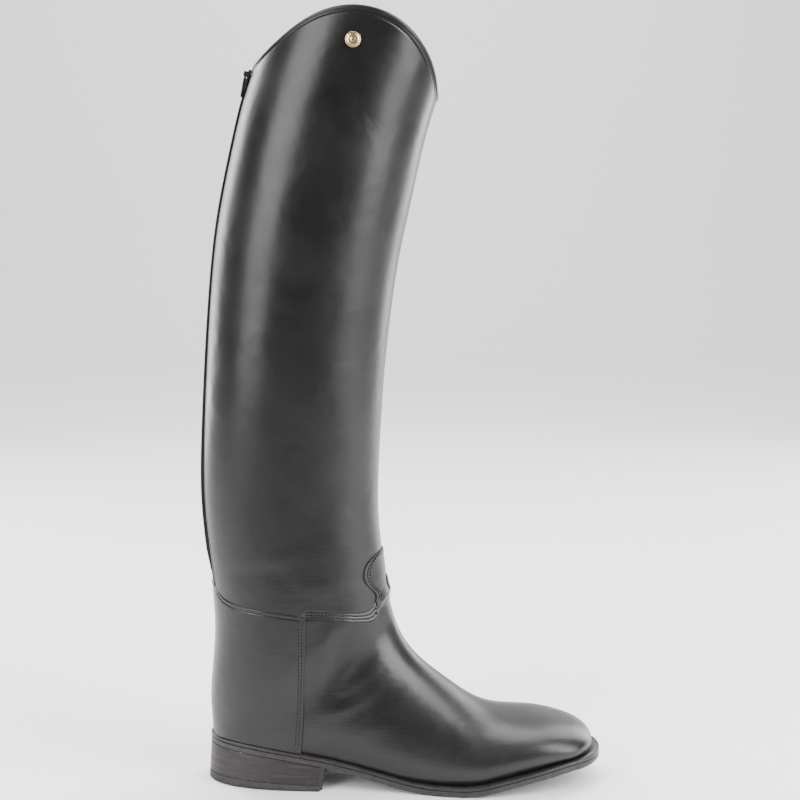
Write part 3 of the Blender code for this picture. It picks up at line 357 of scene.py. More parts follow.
def surface(route, turn, side):
    """Points of the upper's surface.

    Route is the distance along the sections from the toe. Turn is the share of the way round one side,
    0 at the feather line or the back and 1 at the ridge. Side is -1 for the outer and 1 for the inner.
    """
    route = np.clip(np.atleast_1d(np.asarray(route, dtype=float)), 0.0, ROUTE_END)
    turn = np.broadcast_to(np.asarray(turn, dtype=float), route.shape)
    side = np.broadcast_to(np.asarray(side, dtype=float), route.shape)
    on_foot = route < ROUTE_CORNER
    angle = np.where(on_foot, np.maximum(_seat_at(np.minimum(route, ROUTE_CORNER)), 0.0), 0.0)
    base_x = np.where(on_foot, feather_along(angle), _back_x_at(np.maximum(route, ROUTE_CORNER)))
    base_z = np.where(on_foot, feather_height(base_x), _back_z_at(np.maximum(route, ROUTE_CORNER)))
    outer = side < 0
    lip = np.where(on_foot, np.where(outer, _feather_outer(angle), _feather_inner(angle)), 0.0)
    bulge = np.where(outer, _bulge_outer_at(np.minimum(route, ROUTE_CORNER)),
                     _bulge_inner_at(np.minimum(route, ROUTE_CORNER)))
    wide_far = np.where(outer, _wide_outer_at(route), _wide_inner_at(route))
    mix = np.clip((route - ROUTE[5]) / (ROUTE[7] - ROUTE[5]), 0, 1)
    mix = mix * mix * (3 - 2 * mix)
    wide = (1 - mix) * (lip + np.maximum(bulge, 0.0)) + mix * np.maximum(wide_far, lip)
    soft = np.clip(angle / math.radians(45), 0, 1)
    power = 1 + soft * soft * (3 - 2 * soft)
    across_x = _ridge_x_at(route) - base_x
    across_z = _ridge_z_at(route) - base_z
    reach = np.hypot(across_x, across_z)
    widest = np.clip(_widest_at(route), 0.02, 0.9)
    quarter = np.linspace(0, math.pi / 2, DENSE)
    low_y = lip[:, None] + (wide - lip)[:, None] * np.sin(quarter)[None, :] ** power[:, None]
    low_up = widest[:, None] * (1 - np.cos(quarter)[None, :].clip(0) ** (2 / _below_at(route))[:, None])
    high_y = wide[:, None] * np.cos(quarter)[None, :].clip(0)
    rise = np.sin(quarter)[None, :] ** (2 / _above_at(route))[:, None]
    high_up = widest[:, None] + (1 - widest)[:, None] * rise
    y = np.concatenate([low_y, high_y[:, 1:]], axis=1)
    up = np.concatenate([low_up, high_up[:, 1:]], axis=1)
    run = np.hypot(np.diff(y, axis=1), np.diff(up, axis=1) * reach[:, None])
    run = np.concatenate([np.zeros((len(route), 1)), np.cumsum(run, axis=1)], axis=1)
    lean = _lean_at(route)
    points = np.zeros((len(route), 3))
    for i in range(len(route)):
        goal = turn[i] * run[i, -1]
        share = np.interp(goal, run[i], up[i])
        points[i, 0] = base_x[i] + across_x[i] * share
        points[i, 1] = side[i] * np.interp(goal, run[i], y[i]) + lean[i] * share * share
        points[i, 2] = base_z[i] + across_z[i] * share
    return points


def crossing(turn, side, height_of, start):
    """The route past start at which the surface rises through the height that height_of gives for x."""
    routes = np.linspace(start, ROUTE_END, 400)
    line = surface(routes, turn, side)
    above = line[:, 2] - height_of(line[:, 0])
    for i in range(len(routes) - 1):
        if above[i] < 0 <= above[i + 1]:
            share = above[i] / (above[i] - above[i + 1])
            return routes[i] + share * (routes[i + 1] - routes[i])
    return routes[-1]



# Helpers for meshes

def linked(name, verts, faces, mat):
    """A smooth-shaded mesh object, as the lists give it."""
    mesh = bpy.data.meshes.new(name)
    mesh.from_pydata([tuple(v) for v in verts], [], [tuple(f) for f in faces])
    mesh.shade_smooth()
    mesh.materials.append(mat)
    made = bpy.data.objects.new(name, mesh)
    bpy.context.scene.collection.objects.link(made)
    return made


def mesh_object(name, verts, faces, mat):
    """A smooth-shaded mesh object with doubled points merged and its faces turned one way."""
    made = linked(name, verts, faces, mat)
    made.data.validate()
    bm = bmesh.new()
    bm.from_mesh(made.data)
    bmesh.ops.remove_doubles(bm, verts=bm.verts, dist=1e-6)
    bmesh.ops.recalc_face_normals(bm, faces=bm.faces)
    bm.to_mesh(made.data)
    bm.free()
    return made


def grid_faces(rows, columns, wrap=False):
    faces = []
    for r in range(rows - 1):
        for c in range(columns if wrap else columns - 1):
            d = (c + 1) % columns
            faces.append((r * columns + c, r * columns + d, (r + 1) * columns + d, (r + 1) * columns + c))
    return faces


def face_normals(grid, axis=1, sign=-1, part=4):
    """Unit normals of a grid of points, all turned over where one of its middle row points the wrong way.

    That one, a part of the way along, has to point along the axis on the side that the sign gives.
    """
    normals = np.cross(np.gradient(grid, axis=1), np.gradient(grid, axis=0))
    size = np.linalg.norm(normals, axis=2, keepdims=True)
    normals = normals / np.maximum(size, 1e-12)
    rows, columns = grid.shape[:2]
    return -normals if normals[rows // 2, columns // part, axis] * sign < 0 else normals


def nearest(places, value):
    """Index of the place that lies nearest to a value."""
    return int(np.argmin(np.abs(places - value)))


# Grooves in which stitch rows lie: depth, half width, spacing of the mesh in them, and how far that reaches
GROOVE = 0.00036
GROOVE_WIDTH = 0.00055
GROOVE_CELL = 0.00036
GROOVE_REACH = 0.0018


def edged(length, radius, cells, low_edge, high_edge, low_rows=(), high_rows=()):
    """Shares along a strip and the drop of its surface there, or None on the underside.

    The edges are rounded with the radius, and each stitch row, a distance in from its edge, lies in a groove.
    """
    rounding = []
    for part in (0.0, 0.12, 0.35, 0.62):
        a = part * math.pi / 2
        rounding.append((radius * (1 - math.cos(a)), radius * (1 - math.sin(a))))
    start = radius if low_edge else 0.0
    end = length - radius if high_edge else length
    inner = list(np.linspace(start, end, cells + 1))
    if low_rows:
        inner += list(np.arange(start, max(low_rows) + GROOVE_REACH, GROOVE_CELL))
    if high_rows:
        inner += list(np.arange(length - max(high_rows) - GROOVE_REACH, end, GROOVE_CELL))
    places = [0.0] + [d for d, drop in rounding] if low_edge else []
    drops = [None] + [drop for d, drop in rounding] if low_edge else []
    last = -1.0
    for spot in sorted(inner):
        if spot - last > 0.0002:
            offsets = [spot - inset for inset in low_rows] + [length - spot - inset for inset in high_rows]
            places.append(spot)
            drops.append(max([GROOVE * math.exp(-(off / GROOVE_WIDTH) ** 2) for off in offsets], default=0.0))
            last = spot
    if high_edge:
        places += [length - d for d, drop in reversed(rounding)] + [length]
        drops += [drop for d, drop in reversed(rounding)] + [None]
    return np.array(places) / length, drops


def sheet_object(name, base, normals, thick, rise, row_drops, column_drops, mat):
    """A leather sheet over a base grid: rise is its underside's height and thick the leather's own."""
    rows, columns = base.shape[:2]
    offset = np.array(np.broadcast_to(np.asarray(rise, dtype=float), (rows, columns)))
    thick = np.broadcast_to(np.asarray(thick, dtype=float), (rows, columns))
    for r, low in enumerate(row_drops):
        for c, aside in enumerate(column_drops):
            if low is not None and aside is not None:
                offset[r, c] += thick[r, c] - max(low, aside)
    outside = base + normals * offset[:, :, None]
    return mesh_object(name, outside.reshape(-1, 3), grid_faces(rows, columns), mat)


def sampled(table, i, j):
    """A table's values between its cells, at rows i and columns j that needn't be whole."""
    i = np.clip(i, 0, table.shape[0] - 1.001)
    j = np.clip(j, 0, table.shape[1] - 1.001)
    r = np.floor(i).astype(int)
    c = np.floor(j).astype(int)
    u = i - r
    v = j - c
    return ((table[r, c] * (1 - v) + table[r, c + 1] * v) * (1 - u)
            + (table[r + 1, c] * (1 - v) + table[r + 1, c + 1] * v) * u)


def smooth_field(field, rounds):
    """Evens out a grid of numbers."""
    for _ in range(rounds):
        grown = np.pad(field, 1, mode="edge")
        field = (4 * field + grown[:-2, 1:-1] + grown[2:, 1:-1] + grown[1:-1, :-2] + grown[1:-1, 2:]) / 8
    return field


# Fine functions of the upper's edges

# The shaft's lower edge over the vamp, seen from the side: it runs on level under the counter.
# Along is a share of SHAFT_DEPTH and height of ANKLE_HEIGHT.
SEAM_EDGE = (
    # along, height
    (-0.10, 0.930),
    (0.300, 0.900),
    (0.450, 0.862),
    (0.550, 0.850),
    (0.660, 0.845),
    (0.770, 0.836),
    (0.860, 0.828),
    (0.920, 0.824),
    (0.952, 0.836),
    (0.980, 0.872),
    (1.006, 0.920),
    (1.030, 0.935),
    (1.200, 0.940),
)
_edge = np.array(SEAM_EDGE)
_edge_height = steady(_edge[:, 0] * SHAFT_DEPTH, _edge[:, 1] * ANKLE_HEIGHT)
_collar = np.array(COLLAR)
_collar_outer = spline(_collar[:, 0], _collar[:, 1] * BOOT_HEIGHT)
_collar_inner = spline(_collar[:, 0], _collar[:, 2] * BOOT_HEIGHT)


def route_tables(height_of):
    """Route of a height along both sides, as functions of turn."""
    made = {}
    turns = np.linspace(0, 1, 41)
    for side in (-1, 1):
        starts = ROUTE[7] + (ROUTE_CORNER - ROUTE[7]) * (1 - turns)
        routes = [crossing(t, side, height_of(t, side), start) for t, start in zip(turns, starts)]
        made[side] = spline(turns, routes)
    return made


def collar_level(t, side):
    height = float((_collar_outer if side < 0 else _collar_inner)(t))
    return lambda x: 0 * x + height


EDGE_ROUTE = route_tables(lambda t, side: _edge_height)
TOP_ROUTE = route_tables(collar_level)


def turn_at_back(y):
    """Turn on the outer side where the surface is y across, as a function of route."""
    routes = np.linspace(ROUTE_CORNER + 0.06, ROUTE_END, 60)
    probe = np.linspace(0, 0.3, 40)
    values = []
    for route in routes:
        line = surface(np.full(40, route), probe, -1)
        values.append(np.interp(abs(y), np.abs(line[:, 1]), probe))
    return spline(routes, values)


SLOT_TURN = turn_at_back(ZIP_MIDDLE - ZIP_SLOT / 2)


def place(points):
    """Points given from the heel's back, in the boot's own frame."""
    moved = np.array(points, dtype=float)
    moved[..., 0] -= HEEL_REST_AT
    return moved


# Soft troughs and ridges of the leather: x and z of the middle, half length, half width,
# direction in degrees, height (below zero for a trough), and the side they lie on
CREASES = (
    (0.094, 0.098, 0.016, 0.0042, 62, -0.00085, -1),
    (0.101, 0.088, 0.018, 0.0050, 50, 0.00070, -1),
    (0.090, 0.078, 0.014, 0.0045, 70, -0.00070, -1),
    (0.104, 0.070, 0.016, 0.0050, 38, -0.00078, -1),
    (0.112, 0.079, 0.015, 0.0048, 44, 0.00062, -1),
    (0.095, 0.060, 0.013, 0.0045, 20, 0.00054, -1),
    (0.118, 0.062, 0.020, 0.0055, 30, -0.00054, -1),
    (0.088, 0.113, 0.012, 0.0040, 80, 0.00054, -1),
    (0.128, 0.050, 0.020, 0.0060, 22, 0.00046, -1),
    (0.096, 0.100, 0.018, 0.0050, 60, -0.00078, 1),
    (0.104, 0.082, 0.018, 0.0050, 48, 0.00070, 1),
    (0.100, 0.066, 0.018, 0.0055, 35, -0.00070, 1),
    (0.040, 0.160, 0.020, 0.0060, 8, -0.00046, -1),
    (0.050, 0.172, 0.022, 0.0065, 5, 0.00046, -1),
    (0.085, 0.150, 0.016, 0.0060, -8, 0.00039, -1),
    (0.045, 0.165, 0.020, 0.0065, 6, -0.00046, 1),
)


def creased(points, normals):
    """The points moved by the soft troughs and ridges."""
    total = np.zeros(points.shape[:-1])
    for x, z, long, wide, turn, height, side in CREASES:
        a = math.radians(turn)
        dx = points[..., 0] - x
        dz = points[..., 2] - z
        along = (dx * math.cos(a) + dz * math.sin(a)) / long
        across = (-dx * math.sin(a) + dz * math.cos(a)) / wide
        same = 1 / (1 + np.exp(-(points[..., 1] * side - 0.008) / 0.004))
        total += height * np.exp(-along * along - across * across) * same
    return points + normals * total[..., None]


# Materials

def new_material(name):
    mat = bpy.data.materials.new(name)
    mat.use_nodes = True
    return mat


def fill(mat, made, inputs):
    """Sets a node's inputs, each from a plain value or from another node's socket."""
    for name, value in inputs.items():
        if isinstance(value, bpy.types.NodeSocket):
            mat.node_tree.links.new(value, made.inputs[name])
        else:
            made.inputs[name].default_value = value


def shader_node(mat, kind, inputs, **settings):
    made = mat.node_tree.nodes.new("ShaderNode" + kind)
    for name, value in settings.items():
        setattr(made, name, value)
    fill(mat, made, inputs)
    return made


def own_place(mat):
    return shader_node(mat, "TexCoord", {}).outputs["Object"]


def stretched(mat, where, scale):
    return shader_node(mat, "Mapping", {"Vector": where, "Scale": scale}).outputs["Vector"]


def along_axis(mat, where, axis):
    return shader_node(mat, "SeparateXYZ", {"Vector": where}).outputs[axis]


def noise(mat, where, scale, detail, rough=0.55, distortion=0.0):
    made = shader_node(mat, "TexNoise", {"Vector": where, "Scale": scale, "Detail": detail,
                                         "Roughness": rough,
                                  "Distortion": distortion})
    return made.outputs["Fac"]


def combined(mat, kind, a, b):
    return shader_node(mat, "Math", {0: a, 1: b}, operation=kind).outputs[0]


def weighed(mat, *parts, plus=0.0):
    """A plain number plus the sum of some sockets, each times its factor."""
    total = plus
    for socket, factor in parts:
        total = combined(mat, "ADD", combined(mat, "MULTIPLY", socket, factor), total)
    return total


def ramp(mat, value, *stops):
    made = shader_node(mat, "ValToRGB", {"Fac": value})
    elements = made.color_ramp.elements
    while len(elements) < len(stops):
        elements.new(0.5)
    for element, (at, colour) in zip(elements, stops):
        element.position = at
        element.color = (*colour, 1.0)
    return made.outputs["Color"]


def eased(mat, value, span, onto):
    """A value that goes smoothly from one number to another over a span."""
    made = shader_node(mat, "MapRange", {"Value": value, "From Min": span[0], "From Max": span[1],
                                  "To Min": onto[0], "To Max": onto[1]}, interpolation_type="SMOOTHSTEP")
    return made.outputs["Result"]


def bump(mat, height, strength, distance, under=None):
    """The normal of a relief, laid over another one if there is one under it."""
    made = shader_node(mat, "Bump", {"Height": height, "Strength": strength, "Distance": distance})
    if under is not None:
        fill(mat, made, {"Normal": under})
    return made.outputs["Normal"]


def shade(mat, base, rough, normal, gloss, coat=0.0, coat_rough=0.25, metal=0.0):
    fill(mat, mat.node_tree.nodes["Principled BSDF"],
         {"Base Color": base, "Roughness": rough, "Normal": normal, "Metallic": metal,
          "Specular IOR Level": gloss, "Coat Weight": coat, "Coat Roughness": coat_rough})
    return mat


def leather(name, colour=(0.0045, 0.0045, 0.0048), warm=(0.0085, 0.0080, 0.0080), rough=0.35, coat=0.16):
    """Polished calf: fine grain, faint pull lines, cloudy polish and a thin coat of wax."""
    mat = new_material(name)
    where = own_place(mat)
    clouds = noise(mat, where, 26.0, 4.0, 0.6, 0.4)
    wax = noise(mat, where, 9.0, 3.0, 0.6, 0.8)
    fine = noise(mat, where, 900.0, 2.0, 0.6)
    pores = shader_node(mat, "TexVoronoi", {"Vector": where, "Scale": 720.0}).outputs["Distance"]
    swell = bump(mat, noise(mat, where, 34.0, 2.0, 0.5, 0.4), 0.35, 0.0022)
    # The pull lines lie level round the ankle and fade out up the shaft
    lines = noise(mat, stretched(mat, where, (0.28, 0.28, 1.6)), 210.0, 3.0, 0.6, 0.5)
    near_ankle = eased(mat, along_axis(mat, where, "Z"), (0.235, 0.150), (0.12, 1.0))
    pulled = bump(mat, combined(mat, "MULTIPLY", lines, near_ankle), 0.5, 0.00035, swell)
    grain = bump(mat, weighed(mat, (fine, 0.55), (pores, 0.45)), 0.55, 0.00006, pulled)
    tint = ramp(mat, clouds, (0.30, colour), (0.72, warm))
    shine = weighed(mat, (clouds, 0.24), (wax, 0.30), plus=rough - 0.27)
    return shade(mat, tint, shine, grain, 0.37, coat, 0.24)


def mottled(name, colour, other, rough, scale, relief, coat=0.0, metal=0.0, gloss=0.32):
    """Two tones in fine clouds, with a relief of the same pattern."""
    mat = new_material(name)
    value = noise(mat, own_place(mat), scale, 4.0, 0.6)
    tint = ramp(mat, value, (0.32, colour), (0.70, other))
    shine = weighed(mat, (value, 0.16), plus=rough - 0.08)
    return shade(mat, tint, shine, bump(mat, value, 0.5, relief), gloss, coat, metal=metal)


def stacked():
    """Stacked heel leather: thin level layers, dark stain and worn reddish streaks."""
    mat = new_material("stacked_heel")
    where = own_place(mat)
    layers = stretched(mat, where, (1.0, 1.0, 9.0))
    streaks = noise(mat, layers, 34.0, 5.0, 0.62, 0.3)
    fine = noise(mat, layers, 160.0, 3.0, 0.6)
    bands = shader_node(mat, "TexWave", {"Vector": where, "Scale": 62.0, "Distortion": 1.2, "Detail": 2.0},
                 wave_type="BANDS", bands_direction="Z").outputs["Fac"]
    tint = ramp(mat, streaks, (0.30, (0.009, 0.008, 0.008)), (0.55, (0.014, 0.012, 0.012)),
                (0.66, (0.040, 0.020, 0.017)), (0.80, (0.020, 0.017, 0.016)))
    relief = bump(mat, weighed(mat, (bands, 0.10), (fine, 0.6)), 0.4, 0.0002)
    return shade(mat, tint, weighed(mat, (fine, 0.2), plus=0.36), relief, 0.35, 0.08, 0.3)


LEATHER = leather("polished_calf")
COUNTER_LEATHER = leather("counter_calf", rough=0.38)
VAMP_LEATHER = leather("vamp_calf", rough=0.36)
TRIM_LEATHER = leather("trim_calf", (0.0045, 0.0045, 0.0045), (0.0080, 0.0075, 0.0075), 0.42, 0.12)
LINING = leather("lining_calf", (0.030, 0.024, 0.020), (0.045, 0.036, 0.030), 0.55, 0.0)
HEEL_LOOK = stacked()
# Two tones, roughness, scale of the clouds and depth of the relief
# The needle holes are matte near-black discs with almost no gloss: painted shade of the holes
HOLE_SHADE = mottled("needle_hole_painted_shade", (0.0008, 0.0008, 0.0008), (0.002, 0.002, 0.002), 0.95, 2000.0, 0.00005,
               gloss=0.02)
THREAD = mottled("thread", (0.005, 0.005, 0.0055), (0.012, 0.012, 0.0125), 0.50, 2500.0, 0.00008)
WELT_THREAD = mottled("welt_thread_look", (0.10, 0.095, 0.09), (0.20, 0.19, 0.18), 0.55, 2000.0, 0.0001)
WELT_LEATHER = mottled("welt_leather", (0.010, 0.009, 0.009), (0.022, 0.019, 0.018), 0.42, 160.0, 0.0002,
                       0.2)
RUBBER = mottled("sole_edge", (0.016, 0.015, 0.015), (0.034, 0.031, 0.030), 0.50, 240.0, 0.0002, 0.1)
TREAD = mottled("sole_tread", (0.022, 0.021, 0.021), (0.040, 0.038, 0.037), 0.68, 320.0, 0.0003)
TAPE_CLOTH = mottled("zip_cloth", (0.008, 0.008, 0.009), (0.020, 0.020, 0.022), 0.85, 1600.0, 0.0003)
NYLON = mottled("zip_coil", (0.012, 0.012, 0.013), (0.026, 0.026, 0.028), 0.38, 900.0, 0.00005, 0.2)
ZIP_METAL = mottled("zip_metal", (0.045, 0.045, 0.047), (0.075, 0.075, 0.078), 0.32, 500.0, 0.00005,
                    metal=0.9)
BRASS = mottled("stud_metal", (0.76, 0.53, 0.27), (0.88, 0.68, 0.40), 0.27, 700.0, 0.00008, metal=1.0)


# The shaft, the vamp and the lining

def round_share(s):
    """Side and turn at a share of the way round, from the outer edge at the back to the inner one."""
    return (-1, s * 2) if s <= 0.5 else (1, 2 - s * 2)


def skin_points(routes, shares, edge_turn):
    """A grid of surface points, rows x columns as in routes.

    A column's share runs from 0 at the outer edge, at the turn that edge_turn gives for its routes, to 1.
    """
    points = np.zeros((*routes.shape, 3))
    for c, s in enumerate(shares):
        side, turn = round_share(s)
        if side < 0:
            start = edge_turn(routes[:, c])
            turn = start + (1 - start) * turn
        points[:, c] = surface(routes[:, c], turn, side)
    return points


def collar_spot(s):
    """Route, turn and side of the collar's edge at a share of the way round from the slot's outer edge."""
    side, share = round_share(s)
    turn = share
    if side < 0:
        for _ in range(3):
            start = float(SLOT_TURN(float(TOP_ROUTE[side](turn))))
            turn = start + (1 - start) * share
    return float(TOP_ROUTE[side](turn)), turn, side


# Stitch rows: distances in from the shaft's lower edge, its collar edge and its slot edge
SEAM_ROWS = (0.0017, 0.0036, 0.0055)
COLLAR_ROW = 0.0042
SLOT_ROW = 0.0018
# The shaft's leather laid flat
SHAFT_LONG = 0.38
SHAFT_ROUND = 0.33


def build_shaft():
    row_places, row_drops = edged(SHAFT_LONG, 0.0007, 190, True, False, SEAM_ROWS, (COLLAR_ROW,))
    column_places, column_drops = edged(SHAFT_ROUND, 0.0004, 140, True, False, (SLOT_ROW,))
    routes = np.zeros((len(row_places), len(column_places)))
    for c, s in enumerate(column_places):
        side, turn = round_share(s)
        low = float(EDGE_ROUTE[side](turn))
        # It runs on further down where the counter covers it
        x = surface([low], turn, side)[0, 0]
        low -= 0.010 * (1 - float(np.clip((x - 0.060) / 0.008, 0, 1)))
        high = collar_spot(s)[0] - 0.0004
        routes[:, c] = low + (high - low) * row_places
    points = skin_points(routes, column_places, SLOT_TURN)
    normals = face_normals(points)
    moved = place(creased(points, normals))
    # The leather turns thicker towards its lower edge, where it is folded over the vamp
    folded = 0.0008 + 0.0006 * np.exp(-(row_places * SHAFT_LONG / 0.0045) ** 2)
    made = sheet_object("shaft_leather", moved, normals, folded[:, None], 0.0, row_drops, column_drops,
                        LEATHER)
    seams = [moved[nearest(row_places * SHAFT_LONG, inset)] for inset in SEAM_ROWS]
    under_collar = moved[nearest((1 - row_places) * SHAFT_LONG, COLLAR_ROW)]
    beside_slot = moved[:, nearest(column_places * SHAFT_ROUND, SLOT_ROW)]
    return made, seams, under_collar, beside_slot


shaft_leather, shaft_seams, collar_seam, slot_seam = build_shaft()


def even_routes(rows, columns, low, high_of):
    """Even rows of routes, from low to what high_of gives for each share of the way round, and the shares."""
    shares = np.linspace(0, 1, columns)
    high = np.array([high_of(s) for s in shares])
    return low + (high - low)[None, :] * np.linspace(0, 1, rows)[:, None], shares


def under_shaft(s):
    """Route of the vamp's upper edge, hidden under the shaft's."""
    side, turn = round_share(s)
    return float(EDGE_ROUTE[side](turn)) + 0.004


def build_vamp():
    rows, columns = 210, 181
    routes, shares = even_routes(rows, columns, 0.0, under_shaft)
    points = skin_points(routes, shares, lambda route: 0 * route)
    lip = routes <= ROUTE_CORNER
    lip[:, 1:-1] = False
    lip[0, :] = True
    points[lip, 2] = feather_height(points[lip, 0])
    normals = face_normals(points)
    flat = ~np.isfinite(normals).all(axis=2) | (np.linalg.norm(normals, axis=2) < 0.5)
    normals[flat] = (0, 0, 1)
    # The creases fade out towards the welt
    near = np.clip((points[..., 2] - feather_height(points[..., 0])) / 0.012, 0, 1)
    moved = place(points + (creased(points, normals) - points) * near[..., None])
    verts = list(moved.reshape(-1, 3))
    faces = grid_faces(rows, columns)
    # The lower edge turns in and down behind the welt
    rim = [(r, 0) for r in range(rows - 1, -1, -1) if routes[r, 0] <= ROUTE_CORNER]
    rim += [(0, c) for c in range(1, columns)]
    rim += [(r, columns - 1) for r in range(1, rows) if routes[r, -1] <= ROUTE_CORNER]
    first = len(verts)
    for r, c in rim:
        p = moved[r, c]
        inward = np.array([np.clip(p[0], 0.06, 0.19), 0.0]) - p[:2]
        inward = inward / max(np.linalg.norm(inward), 1e-9)
        verts.append((*(p[:2] + inward * 0.0006), p[2] - 0.0012))
    for i in range(len(rim) - 1):
        a = rim[i][0] * columns + rim[i][1]
        b = rim[i + 1][0] * columns + rim[i + 1][1]
        faces.append((a, b, first + i + 1, first + i))
    return mesh_object("vamp_leather", verts, faces, VAMP_LEATHER)


vamp_leather = build_vamp()


def build_lining():
    rows, columns = 120, 121
    routes, shares = even_routes(rows, columns, 0.02, lambda s: collar_spot(s)[0] - 0.0006)

    def edge_turn(route):
        slot = SLOT_TURN(np.maximum(route, ROUTE_CORNER + 0.061))
        return np.where(route > ROUTE_CORNER + 0.08, slot, 0.0)

    points = skin_points(routes, shares, edge_turn)
    inside = place(points - face_normals(points) * 0.0019)
    return mesh_object("lining", inside.reshape(-1, 3), grid_faces(rows, columns), LINING)


lining = build_lining()


# Stitches

def tree_of(objects):
    """A search tree over the outer faces of some pieces."""
    verts = []
    faces = []
    for made in objects:
        start = len(verts)
        verts += [v.co.copy() for v in made.data.vertices]
        faces += [[start + i for i in p.vertices] for p in made.data.polygons]
    return BVHTree.FromPolygons(verts, faces)


def walk(line, step):
    """Points at even steps along a line of points, with the direction there."""
    line = np.asarray(line, dtype=float)
    run = np.concatenate([[0.0], np.cumsum(np.linalg.norm(np.diff(line, axis=0), axis=1))])
    places = np.arange(step / 2, run[-1], step)

    def at(spots):
        return np.stack([np.interp(spots, run, line[:, k]) for k in range(3)], axis=1)

    ahead = at(places + step * 0.2) - at(places - step * 0.2)
    size = np.linalg.norm(ahead, axis=1, keepdims=True)
    return at(places), ahead / np.maximum(size, 1e-12)


def ring_points(radius, lift, count):
    turns = [math.tau * k / count for k in range(count)]
    return [Vector((radius * math.cos(a), radius * math.sin(a), lift)) for a in turns]


# A stitch, end to end: place along its length, width and height as shares of its thickness
STITCH = (
    (-0.5, 0.0, -0.9),
    (-0.46, 0.55, -0.45),
    (-0.30, 0.92, -0.02),
    (0.0, 1.0, 0.06),
    (0.30, 0.92, -0.02),
    (0.46, 0.55, -0.45),
    (0.5, 0.0, -0.9),
)
STITCH_SIDES = 6
# A dished disc of painted shade over a needle hole: share of its radius and height off the leather
NEEDLE_HOLE_SHADE = ((1.0, 0.00001), (0.75, 0.00006), (0.45, 0.00003))
SHADE_DISC_SIDES = 8


class Stitches:
    """Short thread capsules gathered into one mesh, with discs of painted shade for the needle holes between
    them in another.
    """

    def __init__(self):
        self.verts = []
        self.faces = []
        self.hole_shades = []

    def add(self, spot, ahead, out, length, radius, sink=0.25, lean=0.0):
        """One stitch lying along ahead, with its ends dipping into the leather."""
        out = Vector(out).normalized()
        ahead = Vector(ahead)
        ahead = Matrix.Rotation(lean, 3, out) @ (ahead - out * ahead.dot(out)).normalized()
        aside = out.cross(ahead)
        middle = Vector(spot) - out * radius * sink
        first = len(self.verts)
        for along, wide, lift in STITCH:
            centre = middle + ahead * (length * along) + out * (radius * lift)
            if wide == 0.0:
                self.verts.append(centre)
                continue
            for k in range(STITCH_SIDES):
                a = math.tau * k / STITCH_SIDES
                self.verts.append(centre + (aside * math.cos(a) + out * math.sin(a)) * (radius * wide))
        last = first + 1 + 5 * STITCH_SIDES
        for k in range(STITCH_SIDES):
            j = (k + 1) % STITCH_SIDES
            self.faces.append((first, first + 1 + j, first + 1 + k))
            for ring in range(4):
                a = first + 1 + ring * STITCH_SIDES
                self.faces.append((a + k, a + j, a + STITCH_SIDES + j, a + STITCH_SIDES + k))
            self.faces.append((last - STITCH_SIDES + k, last - STITCH_SIDES + j, last))

    def row(self, line, tree, outward, step=0.0025, fill=0.72, radius=0.00036):
        """A row of stitches along a line, laid on the nearest face of the tree."""
        for spot, ahead in zip(*walk(line, step)):
            hit, out = tree.find_nearest(Vector(spot), 0.02)[:2]
            if hit is None:
                continue
            if out.dot(Vector(outward(spot))) < 0:
                out = -out
            self.add(hit, ahead, out, step * fill, radius)
            # Each stitch gets a disc of painted shade for the needle hole after it
            self.hole_shades.append((hit + Vector(ahead) * (step * 0.5), out.copy(), radius * 1.6))

    # The needle holes' discs of painted shade, gathered into one mesh
    def build_hole_shades(self, name, mat):
        verts = []
        faces = []
        for spot, out, radius in self.hole_shades:
            turn = out.to_track_quat("Z", "Y").to_matrix()
            first = len(verts)
            for share, lift in NEEDLE_HOLE_SHADE:
                verts += [spot + turn @ local for local in ring_points(radius * share, lift, SHADE_DISC_SIDES)]
            rings = grid_faces(len(NEEDLE_HOLE_SHADE), SHADE_DISC_SIDES, wrap=True)
            faces += [[first + i for i in face] for face in rings]
            faces.append(range(len(verts) - SHADE_DISC_SIDES, len(verts)))
        return linked(name, verts, faces, mat)

    def build(self, name, mat):
        return linked(name, self.verts, self.faces, mat)


def away(spot):
    """Roughly outwards from the boot's middle line at a spot, in the boot's frame."""
    x, y, z = spot
    middle = 0.02 + max(0.0, z - 0.15) * 0.10
    if z < 0.12:
        middle = min(max(x, 0.0), 0.17)
    return (x - middle, y, 0.25 * (z - 0.06) if z < 0.12 else 0.0)


# Counter over the heel: rays go out from an upright axis and meet the vamp

COUNTER_AXIS = 0.050 - HEEL_REST_AT
# Top edge of the counter from the back to its front corner: along and height, from the heel's back
COUNTER_TOP = (
    (-0.010, 0.1446),
    (0.0072, 0.1446),
    (0.0101, 0.1440),
    (0.0130, 0.1410),
    (0.0160, 0.1390),
    (0.0210, 0.1374),
    (0.0280, 0.1359),
    (0.0406, 0.1346),
    (0.0618, 0.1320),
    (0.0718, 0.1303),
    (0.0900, 0.1280),
)
_top = np.array(COUNTER_TOP)
counter_top = steady(_top[:, 0], _top[:, 1])


_front = np.array(COUNTER_EDGE)


def reach_out(tree, z, angle):
    """Distance from the axis to the face at an angle from straight back, positive to the outer side."""
    way = Vector((-math.cos(angle), -math.sin(angle), 0.0))
    hit = tree.ray_cast(Vector((COUNTER_AXIS, 0.0, z)), way, 0.2)[0]
    return math.nan if hit is None else math.hypot(hit.x - COUNTER_AXIS, hit.y)


def front_x(z):
    """x of the counter's front edge at a height."""
    return float(np.interp(z, _front[:, 1] * ANKLE_HEIGHT, _front[:, 0] * SHAFT_DEPTH)) - HEEL_REST_AT


# Stitch rows, in from the front edges and the top edge
FRONT_ROWS = (0.0024, 0.0046)
TOP_ROW = 0.0028
# The counter's leather laid flat
COUNTER_HIGH = 0.105
COUNTER_ROUND = 0.21


